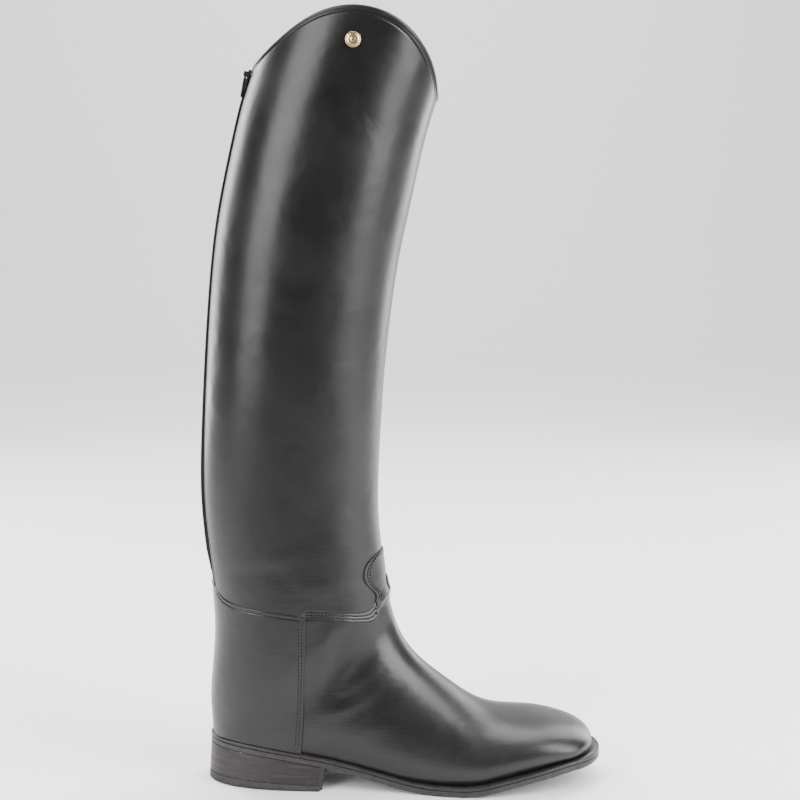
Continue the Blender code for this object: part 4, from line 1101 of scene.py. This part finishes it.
def build_counter():
    tree = tree_of([vamp_leather])
    row_places, row_drops = edged(COUNTER_HIGH, 0.00065, 64, False, True, (), (TOP_ROW,))
    column_places, column_drops = edged(COUNTER_ROUND, 0.00065, 110, True, True, FRONT_ROWS, FRONT_ROWS)
    # Distance from the axis on a plain grid of height and angle
    levels = np.linspace(0.024, 0.1445, 70)
    turns = np.linspace(-2.5, 2.5, 161)
    field = np.array([[reach_out(tree, z, a) for a in turns] for z in levels])
    for column in field.T:
        good = np.isfinite(column)
        if good.any():
            column[~good] = np.interp(levels[~good], levels[good], column[good])
    field = smooth_field(field, 10)

    def point(z, a):
        i = (z - levels[0]) / (levels[1] - levels[0])
        d = sampled(field, i, (a - turns[0]) / (turns[1] - turns[0]))
        return np.array((COUNTER_AXIS - d * math.cos(a), -d * math.sin(a), z))

    base = np.zeros((len(row_places), len(column_places), 3))
    for r, up in enumerate(row_places):
        # The front edges' angles at this height, on both sides
        limits = []
        for sign in (1, -1):
            a = 1.6
            z = 0.03 + COUNTER_HIGH * up
            for _ in range(12):
                a += (front_x(z) - point(z, sign * a)[0]) / 0.045
                a = min(max(a, 0.9), 2.4)
            limits.append(sign * a)
        for c, share in enumerate(column_places):
            a = limits[0] * (1 - share) + limits[1] * share
            z = 0.08
            for _ in range(3):
                x = point(z, a)[0] + HEEL_REST_AT
                low = float(feather_height(x)) + 0.0001
                z = low + (float(counter_top(x)) - low) * up
            base[r, c] = point(z, a)
    made = sheet_object("counter_leather", base, face_normals(base), 0.0017, -0.0002, row_drops, column_drops,
                        COUNTER_LEATHER)
    top_seam = base[nearest((1 - row_places) * COUNTER_HIGH, TOP_ROW)]
    front_seams = []
    for inset in FRONT_ROWS:
        for places in (column_places, 1 - column_places):
            front_seams.append(base[:, nearest(places * COUNTER_ROUND, inset)])
    return made, top_seam, front_seams


counter_leather, counter_top_seam, counter_front_seams = build_counter()


# The tongue over the front of the ankle and the small oval tab on it

_tongue = np.array(TONGUE)
_tongue_z = level(_tongue[:, 0])
tongue_half = steady(_tongue_z, _tongue[:, 1] * SHAFT_DEPTH)


def front_hit(tree, y, z):
    """The spot on the front of the ankle at a height, and the way out of the face there."""
    spot, out = tree.ray_cast(Vector((0.14, y, z)), Vector((-1.0, 0.0, 0.0)), 0.2)[:2]
    if spot is None:
        spot, out = tree.find_nearest(Vector((0.09, y, z)))[:2]
    return spot, -out if out.x < 0 else out


# How far the tongue runs on down under the vamp's seam
TONGUE_TUCK = 0.009


def build_tongue():
    tree = tree_of([vamp_leather, shaft_leather])
    low = _tongue_z[0] - TONGUE_TUCK
    high = _tongue_z[-1] - 0.0001
    row_places, row_drops = edged(high - low, 0.0005, 64, False, True)
    column_places, column_drops = edged(0.050, 0.0005, 60, True, True)
    base = np.zeros((len(row_places), len(column_places), 3))
    levels = low + (high - low) * row_places
    for r, z in enumerate(levels):
        half = float(tongue_half(max(z, _tongue_z[0])))
        for c, share in enumerate(column_places):
            base[r, c] = front_hit(tree, half * (share * 2 - 1), z)[0]
    for k in range(3):
        base[1:-1, 1:-1, k] = smooth_field(base[..., k], 5)[1:-1, 1:-1]
    rise = -0.0022 + 0.0020 * np.clip((levels - low) / TONGUE_TUCK, 0.0, 1.0)
    return sheet_object("tongue_leather", base, face_normals(base, 0, 1, 2), 0.0013, rise[:, None], row_drops,
                        column_drops, VAMP_LEATHER)


tongue_leather = build_tongue()

# The oval tab, from its middle out: share of its half size and height off the tongue
TAB_RINGS = (
    (0.0, 0.00100), (0.25, 0.00098), (0.50, 0.00088), (0.70, 0.00080), (0.78, 0.00060),
    (0.84, 0.00078), (0.92, 0.00076), (0.97, 0.00060), (1.0, 0.00034), (1.0, -0.0003),
)


def build_ankle_tab():
    tree = tree_of([tongue_leather])
    count = 48
    verts = []
    for share, lift in TAB_RINGS:
        for local in ring_points(share, 0.0, count):
            y = ANKLE_TAB_WIDTH / 2 * local.x
            spot, out = front_hit(tree, y, ANKLE_TAB_LEVEL + ANKLE_TAB_HEIGHT / 2 * local.y)
            verts.append(spot + out * lift)
    faces = grid_faces(len(TAB_RINGS), count, wrap=True)
    return mesh_object("ankle_tab_leather", verts, faces, TRIM_LEATHER)


ankle_tab_leather = build_ankle_tab()


# Collar binding, folded over the edge

# Its section: distance below the collar's edge and height off the wall, from the outside over to the inside
BINDING_SECTION = (
    (0.0027, 0.0006), (0.0027, 0.0010), (0.00255, 0.0012), (0.0022, 0.00135),
    (0.0016, 0.00142), (0.0008, 0.00138), (0.0001, 0.0011), (-0.0004, 0.0006),
    (-0.00055, -0.0002), (-0.0005, -0.0012), (-0.0001, -0.0020), (0.0006, -0.0025),
    (0.0020, -0.0027), (0.0050, -0.0027), (0.0056, -0.0023), (0.0056, -0.0016),
)


def build_binding():
    count = 341
    tops, turns, sides = np.array([collar_spot(s) for s in np.linspace(0, 1, count)]).T
    edge = surface(tops, turns, sides)
    up = edge - surface(tops - 0.006, turns, sides)
    up /= np.linalg.norm(up, axis=1, keepdims=True)
    out = np.cross(np.gradient(edge, axis=0), up)
    out /= np.linalg.norm(out, axis=1, keepdims=True)
    if out[count // 4, 1] > 0:
        out = -out
    grid = np.array([place(edge - up * (down + 0.0004) + out * lift) for down, lift in BINDING_SECTION])
    faces = grid_faces(len(grid), count)
    # Closed ends beside the zip
    for c in (0, count - 1):
        faces.append([r * count + c for r in range(len(grid))])
    return mesh_object("binding_leather", grid.reshape(-1, 3), faces, TRIM_LEATHER)


binding_leather = build_binding()


# The back of the boot as a table of x over y and z

BACK_YS = np.linspace(-0.024, 0.024, 49)
BACK_ZS = np.linspace(0.138, 0.5075, 260)


def build_back():
    routes = np.linspace(ROUTE_CORNER + 0.02, ROUTE_END, 150)
    turns = np.linspace(0, 0.3, 60)
    fans = {side: np.stack([surface(routes, turn, side) for turn in turns], axis=1) for side in (-1, 1)}
    table = np.zeros((len(BACK_YS), len(BACK_ZS)))
    for i, y in enumerate(BACK_YS):
        fan = fans[-1 if y < 0 else 1]
        x_line = [np.interp(abs(y), np.abs(row[:, 1]), row[:, 0]) for row in fan]
        z_line = [np.interp(abs(y), np.abs(row[:, 1]), row[:, 2]) for row in fan]
        table[i] = np.interp(BACK_ZS, z_line, x_line)
    return smooth_field(table, 2)


BACK_TABLE = build_back()


def back_points(ys, zs):
    """Points of the wall's face at the back, in the boot's frame, with outward normals: zs x ys."""
    i = (ys - BACK_YS[0]) / (BACK_YS[1] - BACK_YS[0])
    j = (zs - BACK_ZS[0]) / (BACK_ZS[1] - BACK_ZS[0])
    points = np.zeros((len(zs), len(ys), 3))
    points[..., 0] = sampled(BACK_TABLE, i[None, :], j[:, None]) - HEEL_REST_AT
    points[..., 1] = ys[None, :]
    points[..., 2] = zs[:, None]
    return points, face_normals(points, 0, -1, 2)


def back_line(y, zs):
    """Points up the back at y across, with outward normals."""
    points, normals = back_points(y + np.array((-0.001, 0.0, 0.001)), zs)
    return points[:, 1], normals[:, 1]


BACK_TOP = COLLAR[0][1] * BOOT_HEIGHT
STRIP_LOW_Y = ZIP_MIDDLE + ZIP_SLOT / 2 + GAP
STRIP_HIGH_Y = STRIP_LOW_Y + STRIP_WIDTH
# Its stitch rows lie this far in from its edges
STRIP_ROW = 0.0016


def build_strip():
    low, high = STRIP_BOTTOM - 0.004, BACK_TOP - 0.0042
    row_places, row_drops = edged(high - low, 0.0006, 190, True, False)
    column_places, column_drops = edged(STRIP_WIDTH, 0.0006, 20, True, True, (STRIP_ROW,), (STRIP_ROW,))
    ys = STRIP_LOW_Y + STRIP_WIDTH * column_places
    zs = low + (high - low) * row_places
    points, normals = back_points(ys, zs)
    # The strip thins out to nothing at its lower end
    thick = (0.0004 + 0.0014 * np.clip((zs - low) / 0.016, 0, 1))[:, None]
    return sheet_object("back_strip_leather", points, normals, thick, 0.0006, row_drops, column_drops,
                        LEATHER)


back_strip_leather = build_strip()


def build_tape():
    ys = np.linspace(ZIP_MIDDLE - TAPE_WIDTH / 2, ZIP_MIDDLE + TAPE_WIDTH / 2, 43)
    zs = np.linspace(ZIP_BOTTOM - 0.004, BACK_TOP - ZIP_TOP_DROP + 0.003, 330)
    points, normals = back_points(ys, zs)
    cords = 0.00035 * np.exp(-((np.abs(ys - ZIP_MIDDLE) - 0.0042) / 0.0005) ** 2)
    weave = 0.00008 * np.cos(ys * math.tau / 0.0010)[None, :] * np.cos(zs * math.tau / 0.0022)[:, None]
    moved = points + normals * (-0.0023 + cords[None, :] + weave)[..., None]
    return mesh_object("zip_tape_cloth", moved.reshape(-1, 3), grid_faces(len(zs), len(ys)), TAPE_CLOTH)


zip_tape_cloth = build_tape()


def build_teeth():
    coil = Stitches()
    zs = np.arange(ZIP_BOTTOM + END_STOP + 0.0012, BACK_TOP - ZIP_TOP_DROP - 0.001, 0.0009)
    points, normals = back_line(ZIP_MIDDLE, zs)
    for k, (point, normal) in enumerate(zip(points, normals)):
        sign = -1 if k % 2 else 1
        spot = point - normal * 0.00095 + np.array((0.0, sign * 0.0010, 0.0))
        coil.add(spot, (0.0, 1.0, 0.0), normal, 0.0040, 0.00062, sink=0.0, lean=sign * 0.10)
    return coil.build("zip_coil", NYLON)


zip_coil = build_teeth()

# The stop up its length: share of END_STOP and height off the wall
STOP_RISE = (
    (0.0, -0.0018), (0.04, 0.0004), (0.14, 0.0012), (0.3, 0.0014), (0.36, 0.0011), (0.42, 0.0014),
    (0.58, 0.0014), (0.64, 0.0011), (0.70, 0.0014), (0.86, 0.0012), (0.96, 0.0004), (1.0, -0.0018),
)
# The stop across: share of its half width and drop
STOP_DROP = (
    (-1.0, 0.0032), (-1.0, 0.0009), (-0.96, 0.0003), (-0.86, 0.0001), (-0.5, 0.0), (0.0, 0.0),
    (0.5, 0.0), (0.86, 0.0001), (0.96, 0.0003), (1.0, 0.0009), (1.0, 0.0032),
)


def build_stop():
    """The metal stop at the foot of the zip: a folded clip with a rounded face and two grooves."""
    ups, lifts = np.array(STOP_RISE).T
    shares, drops = np.array(STOP_DROP).T
    points, normals = back_points(ZIP_MIDDLE + 0.0042 * shares, ZIP_BOTTOM + GAP + END_STOP * ups)
    moved = points + normals * (lifts[:, None] - drops[None, :])[..., None]
    return mesh_object("zip_stop_metal", moved.reshape(-1, 3), grid_faces(len(ups), len(shares)), ZIP_METAL)


zip_stop_metal = build_stop()


# The domed stud under the collar, from its middle out: share of its radius and height off the leather
STUD_RINGS = (
    (0.0, 0.0022), (0.12, 0.00218), (0.24, 0.00210), (0.30, 0.00196), (0.34, 0.00186), (0.42, 0.00190),
    (0.60, 0.00176), (0.70, 0.00158), (0.76, 0.00132), (0.80, 0.00128), (0.86, 0.00150), (0.92, 0.00150),
    (0.97, 0.00128), (1.0, 0.00090), (1.0, 0.00030), (0.96, -0.0001),
)


def build_stud():
    tree = tree_of([shaft_leather])
    start = Vector((STUD_AT - HEEL_REST_AT, -0.2, STUD_LEVEL))
    spot, out = tree.ray_cast(start, Vector((0.0, 1.0, 0.0)), 0.3)[:2]
    turn = (out if out.y < 0 else -out).to_track_quat("Z", "Y").to_matrix()
    count = 64
    verts = []
    for share, lift in STUD_RINGS:
        # A fine ripple round the rim
        high = 0.00006 if 0.84 < share < 0.95 else 0.0
        for k, local in enumerate(ring_points(STUD_RADIUS * share, lift, count)):
            local.z += high * math.cos(16 * math.tau * k / count)
            verts.append(spot + turn @ local)
    return mesh_object("stud_metalwork", verts, grid_faces(len(STUD_RINGS), count, wrap=True), BRASS)


stud_metalwork = build_stud()


# Sole pieces, swept round the upper's lower edge

sole_margin = steady([0.0, 0.25, 0.45, 0.62, 0.80, 0.92, 1.0],
                     [SEAT_MARGIN, SEAT_MARGIN, WAIST_MARGIN, 0.0045, 0.0052, TOE_MARGIN, TOE_MARGIN])


def evened(loop, rounds):
    """A closed loop with each point drawn towards its neighbours."""
    for _ in range(rounds):
        loop = (np.roll(loop, 1, axis=0) + 2 * loop + np.roll(loop, -1, axis=0)) / 4
    return loop


def even_points(line, count):
    """Even points along a line seen from above, without its end, and its length."""
    run = np.concatenate([[0.0], np.cumsum(np.hypot(*np.diff(line, axis=0).T))])
    places = np.linspace(0, run[-1], count, endpoint=False)
    return np.stack([np.interp(places, run, line[:, k]) for k in (0, 1)], axis=1), run[-1]


def loop_ways(loop):
    """Unit directions out of a closed loop seen from above."""
    ahead = np.roll(loop, -1, axis=0) - np.roll(loop, 1, axis=0)
    out = np.stack([ahead[:, 1], -ahead[:, 0]], axis=1)
    out /= np.linalg.norm(out, axis=1, keepdims=True)
    return -out if out[np.argmin(loop[:, 1]), 1] > 0 else out


def lip_loop(count):
    """Even points round the upper's lower edge seen from above, from the heel's back round the outer side.

    With them come the directions out, how far the sole stands out there, and the distance run.
    """
    routes = np.linspace(ROUTE_CORNER, 0, 260)
    turns = np.linspace(0, 1, 70)
    toe = np.zeros(70)
    line = np.concatenate([
        surface(routes, 0.0, -1)[:, :2],
        surface(toe, turns, -1)[1:, :2],
        surface(toe, turns[::-1], 1)[1:, :2],
        surface(routes[::-1], 0.0, 1)[1:, :2],
    ])
    loop, length = even_points(line, count)
    loop = evened(loop, max(2, count // 120))
    out = evened(loop_ways(loop), max(4, count // 60))
    out /= np.linalg.norm(out, axis=1, keepdims=True)
    return loop, out, sole_margin(loop[:, 0] / SOLE_LENGTH), np.arange(count) * length / count


def sole_ring(count, out_by=0.0):
    """A closed loop at a distance out from the sole's edge."""
    loop, out, margin, _ = lip_loop(count)
    return loop + out * (margin + out_by)[:, None]


def swept(name, count, profile, mat, ribs):
    """Rings round the sole, by a profile: distance out from its edge, a height function, a rise over it."""
    loop, out, margin, run = lip_loop(count)
    rings = []
    for out_by, height, rise in profile:
        ring = loop + out * (margin + out_by + ribs(out_by, run, loop[:, 0]))[:, None]
        rings.append(np.column_stack([ring, height(ring[:, 0]) + rise]))
    return mesh_object(name, place(np.concatenate(rings)), grid_faces(len(rings), count, wrap=True), mat)


def outsole_top(x):
    return underside(x) + OUTSOLE


def welt_top(x):
    return outsole_top(x) + GAP + WELT


WELT_PROFILE = (
    (-0.0120, welt_top, 0.0), (-0.0045, welt_top, 0.0), (-0.0024, welt_top, 0.0),
    (-0.0021, welt_top, -0.00035), (-0.0017, welt_top, -0.00045), (-0.0013, welt_top, -0.00035),
    (-0.0010, welt_top, 0.0), (-0.0006, welt_top, -0.00003), (-0.00028, welt_top, -0.0002),
    (-0.0001, welt_top, -0.0006), (0.0, welt_top, -0.0011), (-0.0001, outsole_top, 0.0006),
    (-0.0004, outsole_top, 0.00025), (-0.0012, outsole_top, 0.0002), (-0.0120, outsole_top, 0.0002),
)
OUTSOLE_PROFILE = (
    (-0.0120, outsole_top, 0.0), (-0.0009, outsole_top, 0.0), (-0.0003, outsole_top, -0.00015),
    (0.0, outsole_top, -0.0005), (0.00012, outsole_top, -0.0009), (-0.00018, outsole_top, -0.0012),
    (-0.00012, outsole_top, -0.0018), (0.0, underside, 0.0016), (-0.0001, underside, 0.0009),
    (-0.0004, underside, 0.0003), (-0.0010, underside, 0.0), (-0.0034, underside, 0.0),
    (-0.0040, underside, 0.0006), (-0.0046, underside, 0.0006), (-0.0052, underside, 0.0),
)


def welt_notches(out_by, run, x):
    """Fine upright notches round the welt's edge."""
    return 0.00010 * np.cos(run * math.tau / 0.0030) if -0.0003 <= out_by <= 0.0 else 0.0 * x


def sole_ribs(out_by, run, x):
    """Small saw-like ribs along the lower edge in front of the waist."""
    strength = np.clip((x - 0.115) / 0.03, 0, 1) * 0.00022
    teeth = np.abs(((run / 0.0024) % 1.0) - 0.5) * 2
    return -strength * teeth if out_by in (0.0, -0.0001, -0.0004) else 0.0 * x


welt_leather = swept("welt_strip", 1000, WELT_PROFILE, WELT_LEATHER, welt_notches)
outsole_edge = swept("outsole_edge", 1500, OUTSOLE_PROFILE, RUBBER, sole_ribs)


def build_tread():
    """The sole's underside inside its edge, with a wavy tread at the front and a smooth waist."""
    count = 1200
    cells = 60
    ring = sole_ring(count, -0.0050)
    verts = []
    for i in range(count // 2 + 1):
        a = ring[i]
        b = ring[(count - i) % count]
        width = max(np.hypot(*(a - b)), 1e-6)
        for k in range(cells + 1):
            share = k / cells
            x, y = a * (1 - share) + b * share
            edge = min(share, 1 - share) * width
            depth = 0.0008 * float(np.clip((x - 0.135) / 0.008, 0, 1) * np.clip((edge - 0.004) / 0.002, 0, 1))
            wave = math.sin((x + 0.0035 * math.sin(y * math.tau / 0.016)) * math.tau / 0.0062)
            z = float(underside(x)) + depth * float(np.clip(0.5 + 1.6 * wave, 0, 1))
            verts.append((x - HEEL_REST_AT, y, z + 0.00002))
    return mesh_object("outsole_tread", verts, grid_faces(count // 2 + 1, cells + 1), TREAD)


outsole_tread = build_tread()


def heel_plan():
    """The heel's plan as a loop: round the back from the outer breast corner, then along the breast."""
    ring = sole_ring(1600)
    outer = ring[:800]
    inner = ring[800:][::-1]
    outer = outer[outer[:, 0] < BREAST_AT - BREAST_SKEW - 0.0022]
    inner = inner[inner[:, 0] < BREAST_AT + BREAST_SKEW - 0.0022]
    first = np.array((BREAST_AT - BREAST_SKEW, outer[-1, 1] + 0.0004))
    last = np.array((BREAST_AT + BREAST_SKEW, inner[-1, 1] - 0.0004))
    s = np.linspace(0.03, 0.97, 40)[:, None]
    breast = first * (1 - s) + last * s - np.array((BREAST_HOLLOW, 0)) * 4 * s * (1 - s)
    return np.concatenate([outer[::-1], inner[1:], breast[::-1], outer[-1:]])


def ground_rings(rim, centre):
    """Rings of the ground face, from its middle out, with a shallow field of dimples."""
    rings = []
    for share in np.arange(26, 0, -1) / 26:
        ring = rim[:, :2] * (1 - share) + centre * share
        dots = np.maximum(0.0, np.prod(np.cos(ring * math.tau / 0.0075), axis=1))
        field = min(1.0, share * 6) if share > 0.12 else 0.0
        rings.append(np.column_stack([ring, 0.0007 * field * dots]))
    return rings


# One layer of the heel, upwards: share of its thickness and how far its face stands out
LAYER = ((0.02, -0.00007), (0.08, -0.00002), (0.5, 0.00002), (0.92, -0.00002), (0.98, -0.00007))


def build_heel(name, low_share, high_share, layers, mat, on_ground):
    count = 520
    loop = evened(even_points(heel_plan(), count)[0], 1)
    out = loop_ways(loop)
    breast = np.clip((loop[:, 0] - (BREAST_AT - 0.010)) / 0.006, 0, 1) * (np.abs(out[:, 0]) > 0.5)
    thin = (high_share - low_share) / layers
    levels = [(low_share + thin * (layer + part), dent) for layer in range(layers) for part, dent in LAYER]
    if on_ground:
        levels = [(0.0, -0.0016), (0.0, -0.0010), (0.012, -0.0005)] + levels[1:]
    rings = []
    for share, dent in levels:
        ring = loop + out * (HEEL_FLARE * (1 - share) * (1 - breast) + dent)[:, None]
        ring[:, 0] += breast * BREAST_LEAN * share
        top = underside(np.minimum(ring[:, 0], BREAST_AT + 0.004)) + 0.0004
        rings.append(place(np.column_stack([ring, top * share])))
    if on_ground:
        centre = loop.mean(axis=0) - np.array((HEEL_REST_AT, 0))
        rings = ground_rings(rings[0], centre) + rings
    return mesh_object(name, np.concatenate(rings), grid_faces(len(rings), count, wrap=True), mat)


heel_stack = build_heel("heel_stack", 0.235, 1.0, 4, HEEL_LOOK, False)
heel_lift = build_heel("heel_lift", 0.0, 0.232, 1, TREAD, True)


# Rows of stitches

def tongue_row(tree, inset):
    """A line inside the tongue's edge, up one side and down the other."""
    top = _tongue_z[-1] - inset
    half = []
    for z in np.linspace(_tongue_z[0] + 0.002, _tongue_z[-1] - 0.0002, 60):
        half.append((max(0.0, float(tongue_half(z)) - inset), min(z, top)))
    outline = [(-y, z) for y, z in half] + half[::-1]
    return np.array([front_hit(tree, y, z)[0] for y, z in outline])


def forwards(spot):
    return 1.0, 0.0, 0.0


def backwards(spot):
    return -1.0, 0.0, 0.0


def outer_back(spot):
    return -1.0, -0.5, 0.0


def stitch_rows():
    black = Stitches()
    shaft_tree = tree_of([shaft_leather])
    counter_tree = tree_of([counter_leather])
    tongue_tree = tree_of([tongue_leather])
    strip_tree = tree_of([back_strip_leather])
    # Shaft over the vamp: three rows from the counter's front edge to the tongue, on both sides
    for line in shaft_seams:
        for side in (-1, 1):
            keep = (line[:, 0] > 0.0745 - HEEL_REST_AT) & (line[:, 1] * side > 0.0185)
            black.row(line[keep], shaft_tree, away)
    # Counter: one row under its top edge and two behind each front edge
    black.row(counter_top_seam[6:-6], counter_tree, away)
    for line in counter_front_seams:
        black.row(line[3:-8], counter_tree, away)
    # Tongue: two rows inside its edge
    for inset in (0.0013, 0.0029):
        black.row(tongue_row(tongue_tree, inset), tongue_tree, forwards)
    # Back strip: a row along each edge
    for y in (STRIP_LOW_Y + STRIP_ROW, STRIP_HIGH_Y - STRIP_ROW):
        zs = np.linspace(STRIP_BOTTOM + 0.001, BACK_TOP - 0.006, 400)
        black.row(back_line(y, zs)[0], strip_tree, backwards)
    # Beside the zip's slot on the outer side
    keep = (slot_seam[:, 2] > ZIP_BOTTOM + 0.004) & (slot_seam[:, 2] < BACK_TOP - 0.004)
    black.row(slot_seam[keep], shaft_tree, outer_back)
    # Under the collar's binding
    black.row(collar_seam[6:], shaft_tree, away)
    # The stitches, and the needle holes as dark discs of painted shade
    return black.build("seam_stitches", THREAD), black.build_hole_shades("stitch_hole_shades", HOLE_SHADE)


seam_stitches, stitch_hole_shades = stitch_rows()


def welt_stitches():
    light = Stitches()
    ring = sole_ring(900, -0.0017)
    line = place(np.column_stack([ring, welt_top(ring[:, 0])]))
    light.row(line, tree_of([welt_leather]), lambda spot: (0.0, 0.0, 1.0), 0.0030, 0.78, 0.00034)
    return light.build("welt_thread", WELT_THREAD)


welt_thread = welt_stitches()


# CAD nodes that show as they are: the slider, its pull tab and the insole

NODE_LOOKS = {"zip_slider": ZIP_METAL, "zip_pull": ZIP_METAL, "insole": LINING}
for node, look in NODE_LOOKS.items():
    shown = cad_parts[node]
    shown.data.materials.clear()
    shown.data.materials.append(look)
    if node != "insole":
        bevel = shown.modifiers.new("worn_edges", "BEVEL")
        bevel.width = 0.00022
        bevel.segments = 3
        bevel.limit_method = "ANGLE"
        bevel.angle_limit = math.radians(35)


# Which body each piece rides, and which CAD node it stands for

PIECES = (
    (shaft_leather, "upper"), (vamp_leather, "upper"), (lining, "upper"), (seam_stitches, "upper"),
    (stitch_hole_shades, "upper"),
    (counter_leather, "counter"), (tongue_leather, "vamp_tongue"), (ankle_tab_leather, "ankle_tab"),
    (binding_leather, "collar_binding"), (back_strip_leather, "back_strip"), (zip_tape_cloth, "zip_tape"),
    (zip_coil, "zip_chain"), (zip_stop_metal, "zip_end_stop"), (stud_metalwork, "collar_stud"),
    (welt_leather, "welt"), (welt_thread, "welt"), (outsole_edge, "outsole"), (outsole_tread, "outsole"),
    (heel_stack, "heel"), (heel_lift, "heel"),
)
for piece, node in PIECES:
    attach(piece, "boot")
    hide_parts(node)


# Light, floor and camera

def build_stage():
    """A pale sweep: floor and backdrop, darker in front, where it would show in the leather's gloss."""
    profile = [(-6.0, 0.0)]
    for a in np.linspace(0, math.pi / 2, 25):
        profile.append((2.2 + 1.2 * math.sin(a), 1.2 * (1 - math.cos(a))))
    profile.append((3.4, 6.0))
    verts = [(x, y, z) for x in (-6.0, 6.0) for y, z in profile]
    mat = new_material("pale_floor")
    where = own_place(mat)
    ahead = eased(mat, along_axis(mat, where, "Y"), (-0.48, -0.06), (0.30, 0.90))
    tone = weighed(mat, (noise(mat, where, 1.5, 2.0), 0.02), plus=ahead)
    fill(mat, mat.node_tree.nodes["Principled BSDF"],
         {"Base Color": ramp(mat, tone, (0.0, (0.0, 0.0, 0.0)), (1.0, (1.0, 1.0, 1.0))), "Roughness": 0.7})
    mesh_object("pale_sweep", verts, grid_faces(2, len(profile)), mat)


build_stage()


def soft_light(name, stand, aim, wide, high, power, spread=150):
    light = bpy.data.lights.new(name, "AREA")
    light.shape = "RECTANGLE"
    light.size = wide
    light.size_y = high
    light.energy = power
    light.spread = math.radians(spread)
    made = bpy.data.objects.new(name, light)
    made.location = stand
    direction = Vector(aim) - Vector(stand)
    made.rotation_euler = direction.to_track_quat("-Z", "Y").to_euler()
    bpy.context.scene.collection.objects.link(made)


MIDDLE = (0.05, 0.0, 0.25)
soft_light("left_front", (-0.95, -0.95, 0.80), MIDDLE, 0.90, 1.6, 25)
soft_light("right_side", (1.15, -0.58, 0.80), MIDDLE, 0.70, 1.6, 30)
soft_light("overhead", (0.05, 0.30, 1.9), MIDDLE, 1.4, 0.9, 13, 110)
soft_light("back_left", (-0.95, 0.85, 0.75), MIDDLE, 0.5, 1.8, 20)
soft_light("back_right", (1.05, 0.95, 0.75), MIDDLE, 0.6, 1.8, 18)
soft_light("backdrop_wash", (0.0, 1.1, 2.6), (0.0, 3.2, 0.7), 3.2, 1.2, 125, 180)

world = bpy.data.worlds.new("studio")
bpy.context.scene.world = world
world.use_nodes = True
world.node_tree.nodes["Background"].inputs["Color"].default_value = (1.0, 1.0, 1.0, 1.0)
world.node_tree.nodes["Background"].inputs["Strength"].default_value = 0.22

PITCH = math.radians(9.0)
DISTANCE = 1.127
AIM = Vector((0.0955, 0.0, 0.2773))
PIXEL = 0.7216 * 0.98 / 1000
camera = bpy.data.cameras.new("camera")
camera.sensor_width = 36.0
camera.lens = 36.0 * DISTANCE / (800 * PIXEL)
camera_object = bpy.data.objects.new("camera", camera)
camera_object.location = AIM + DISTANCE * Vector((0.0, -math.cos(PITCH), math.sin(PITCH)))
camera_object.rotation_euler = (math.pi / 2 - PITCH, 0.0, 0.0)
bpy.context.scene.collection.objects.link(camera_object)
bpy.context.scene.camera = camera_object
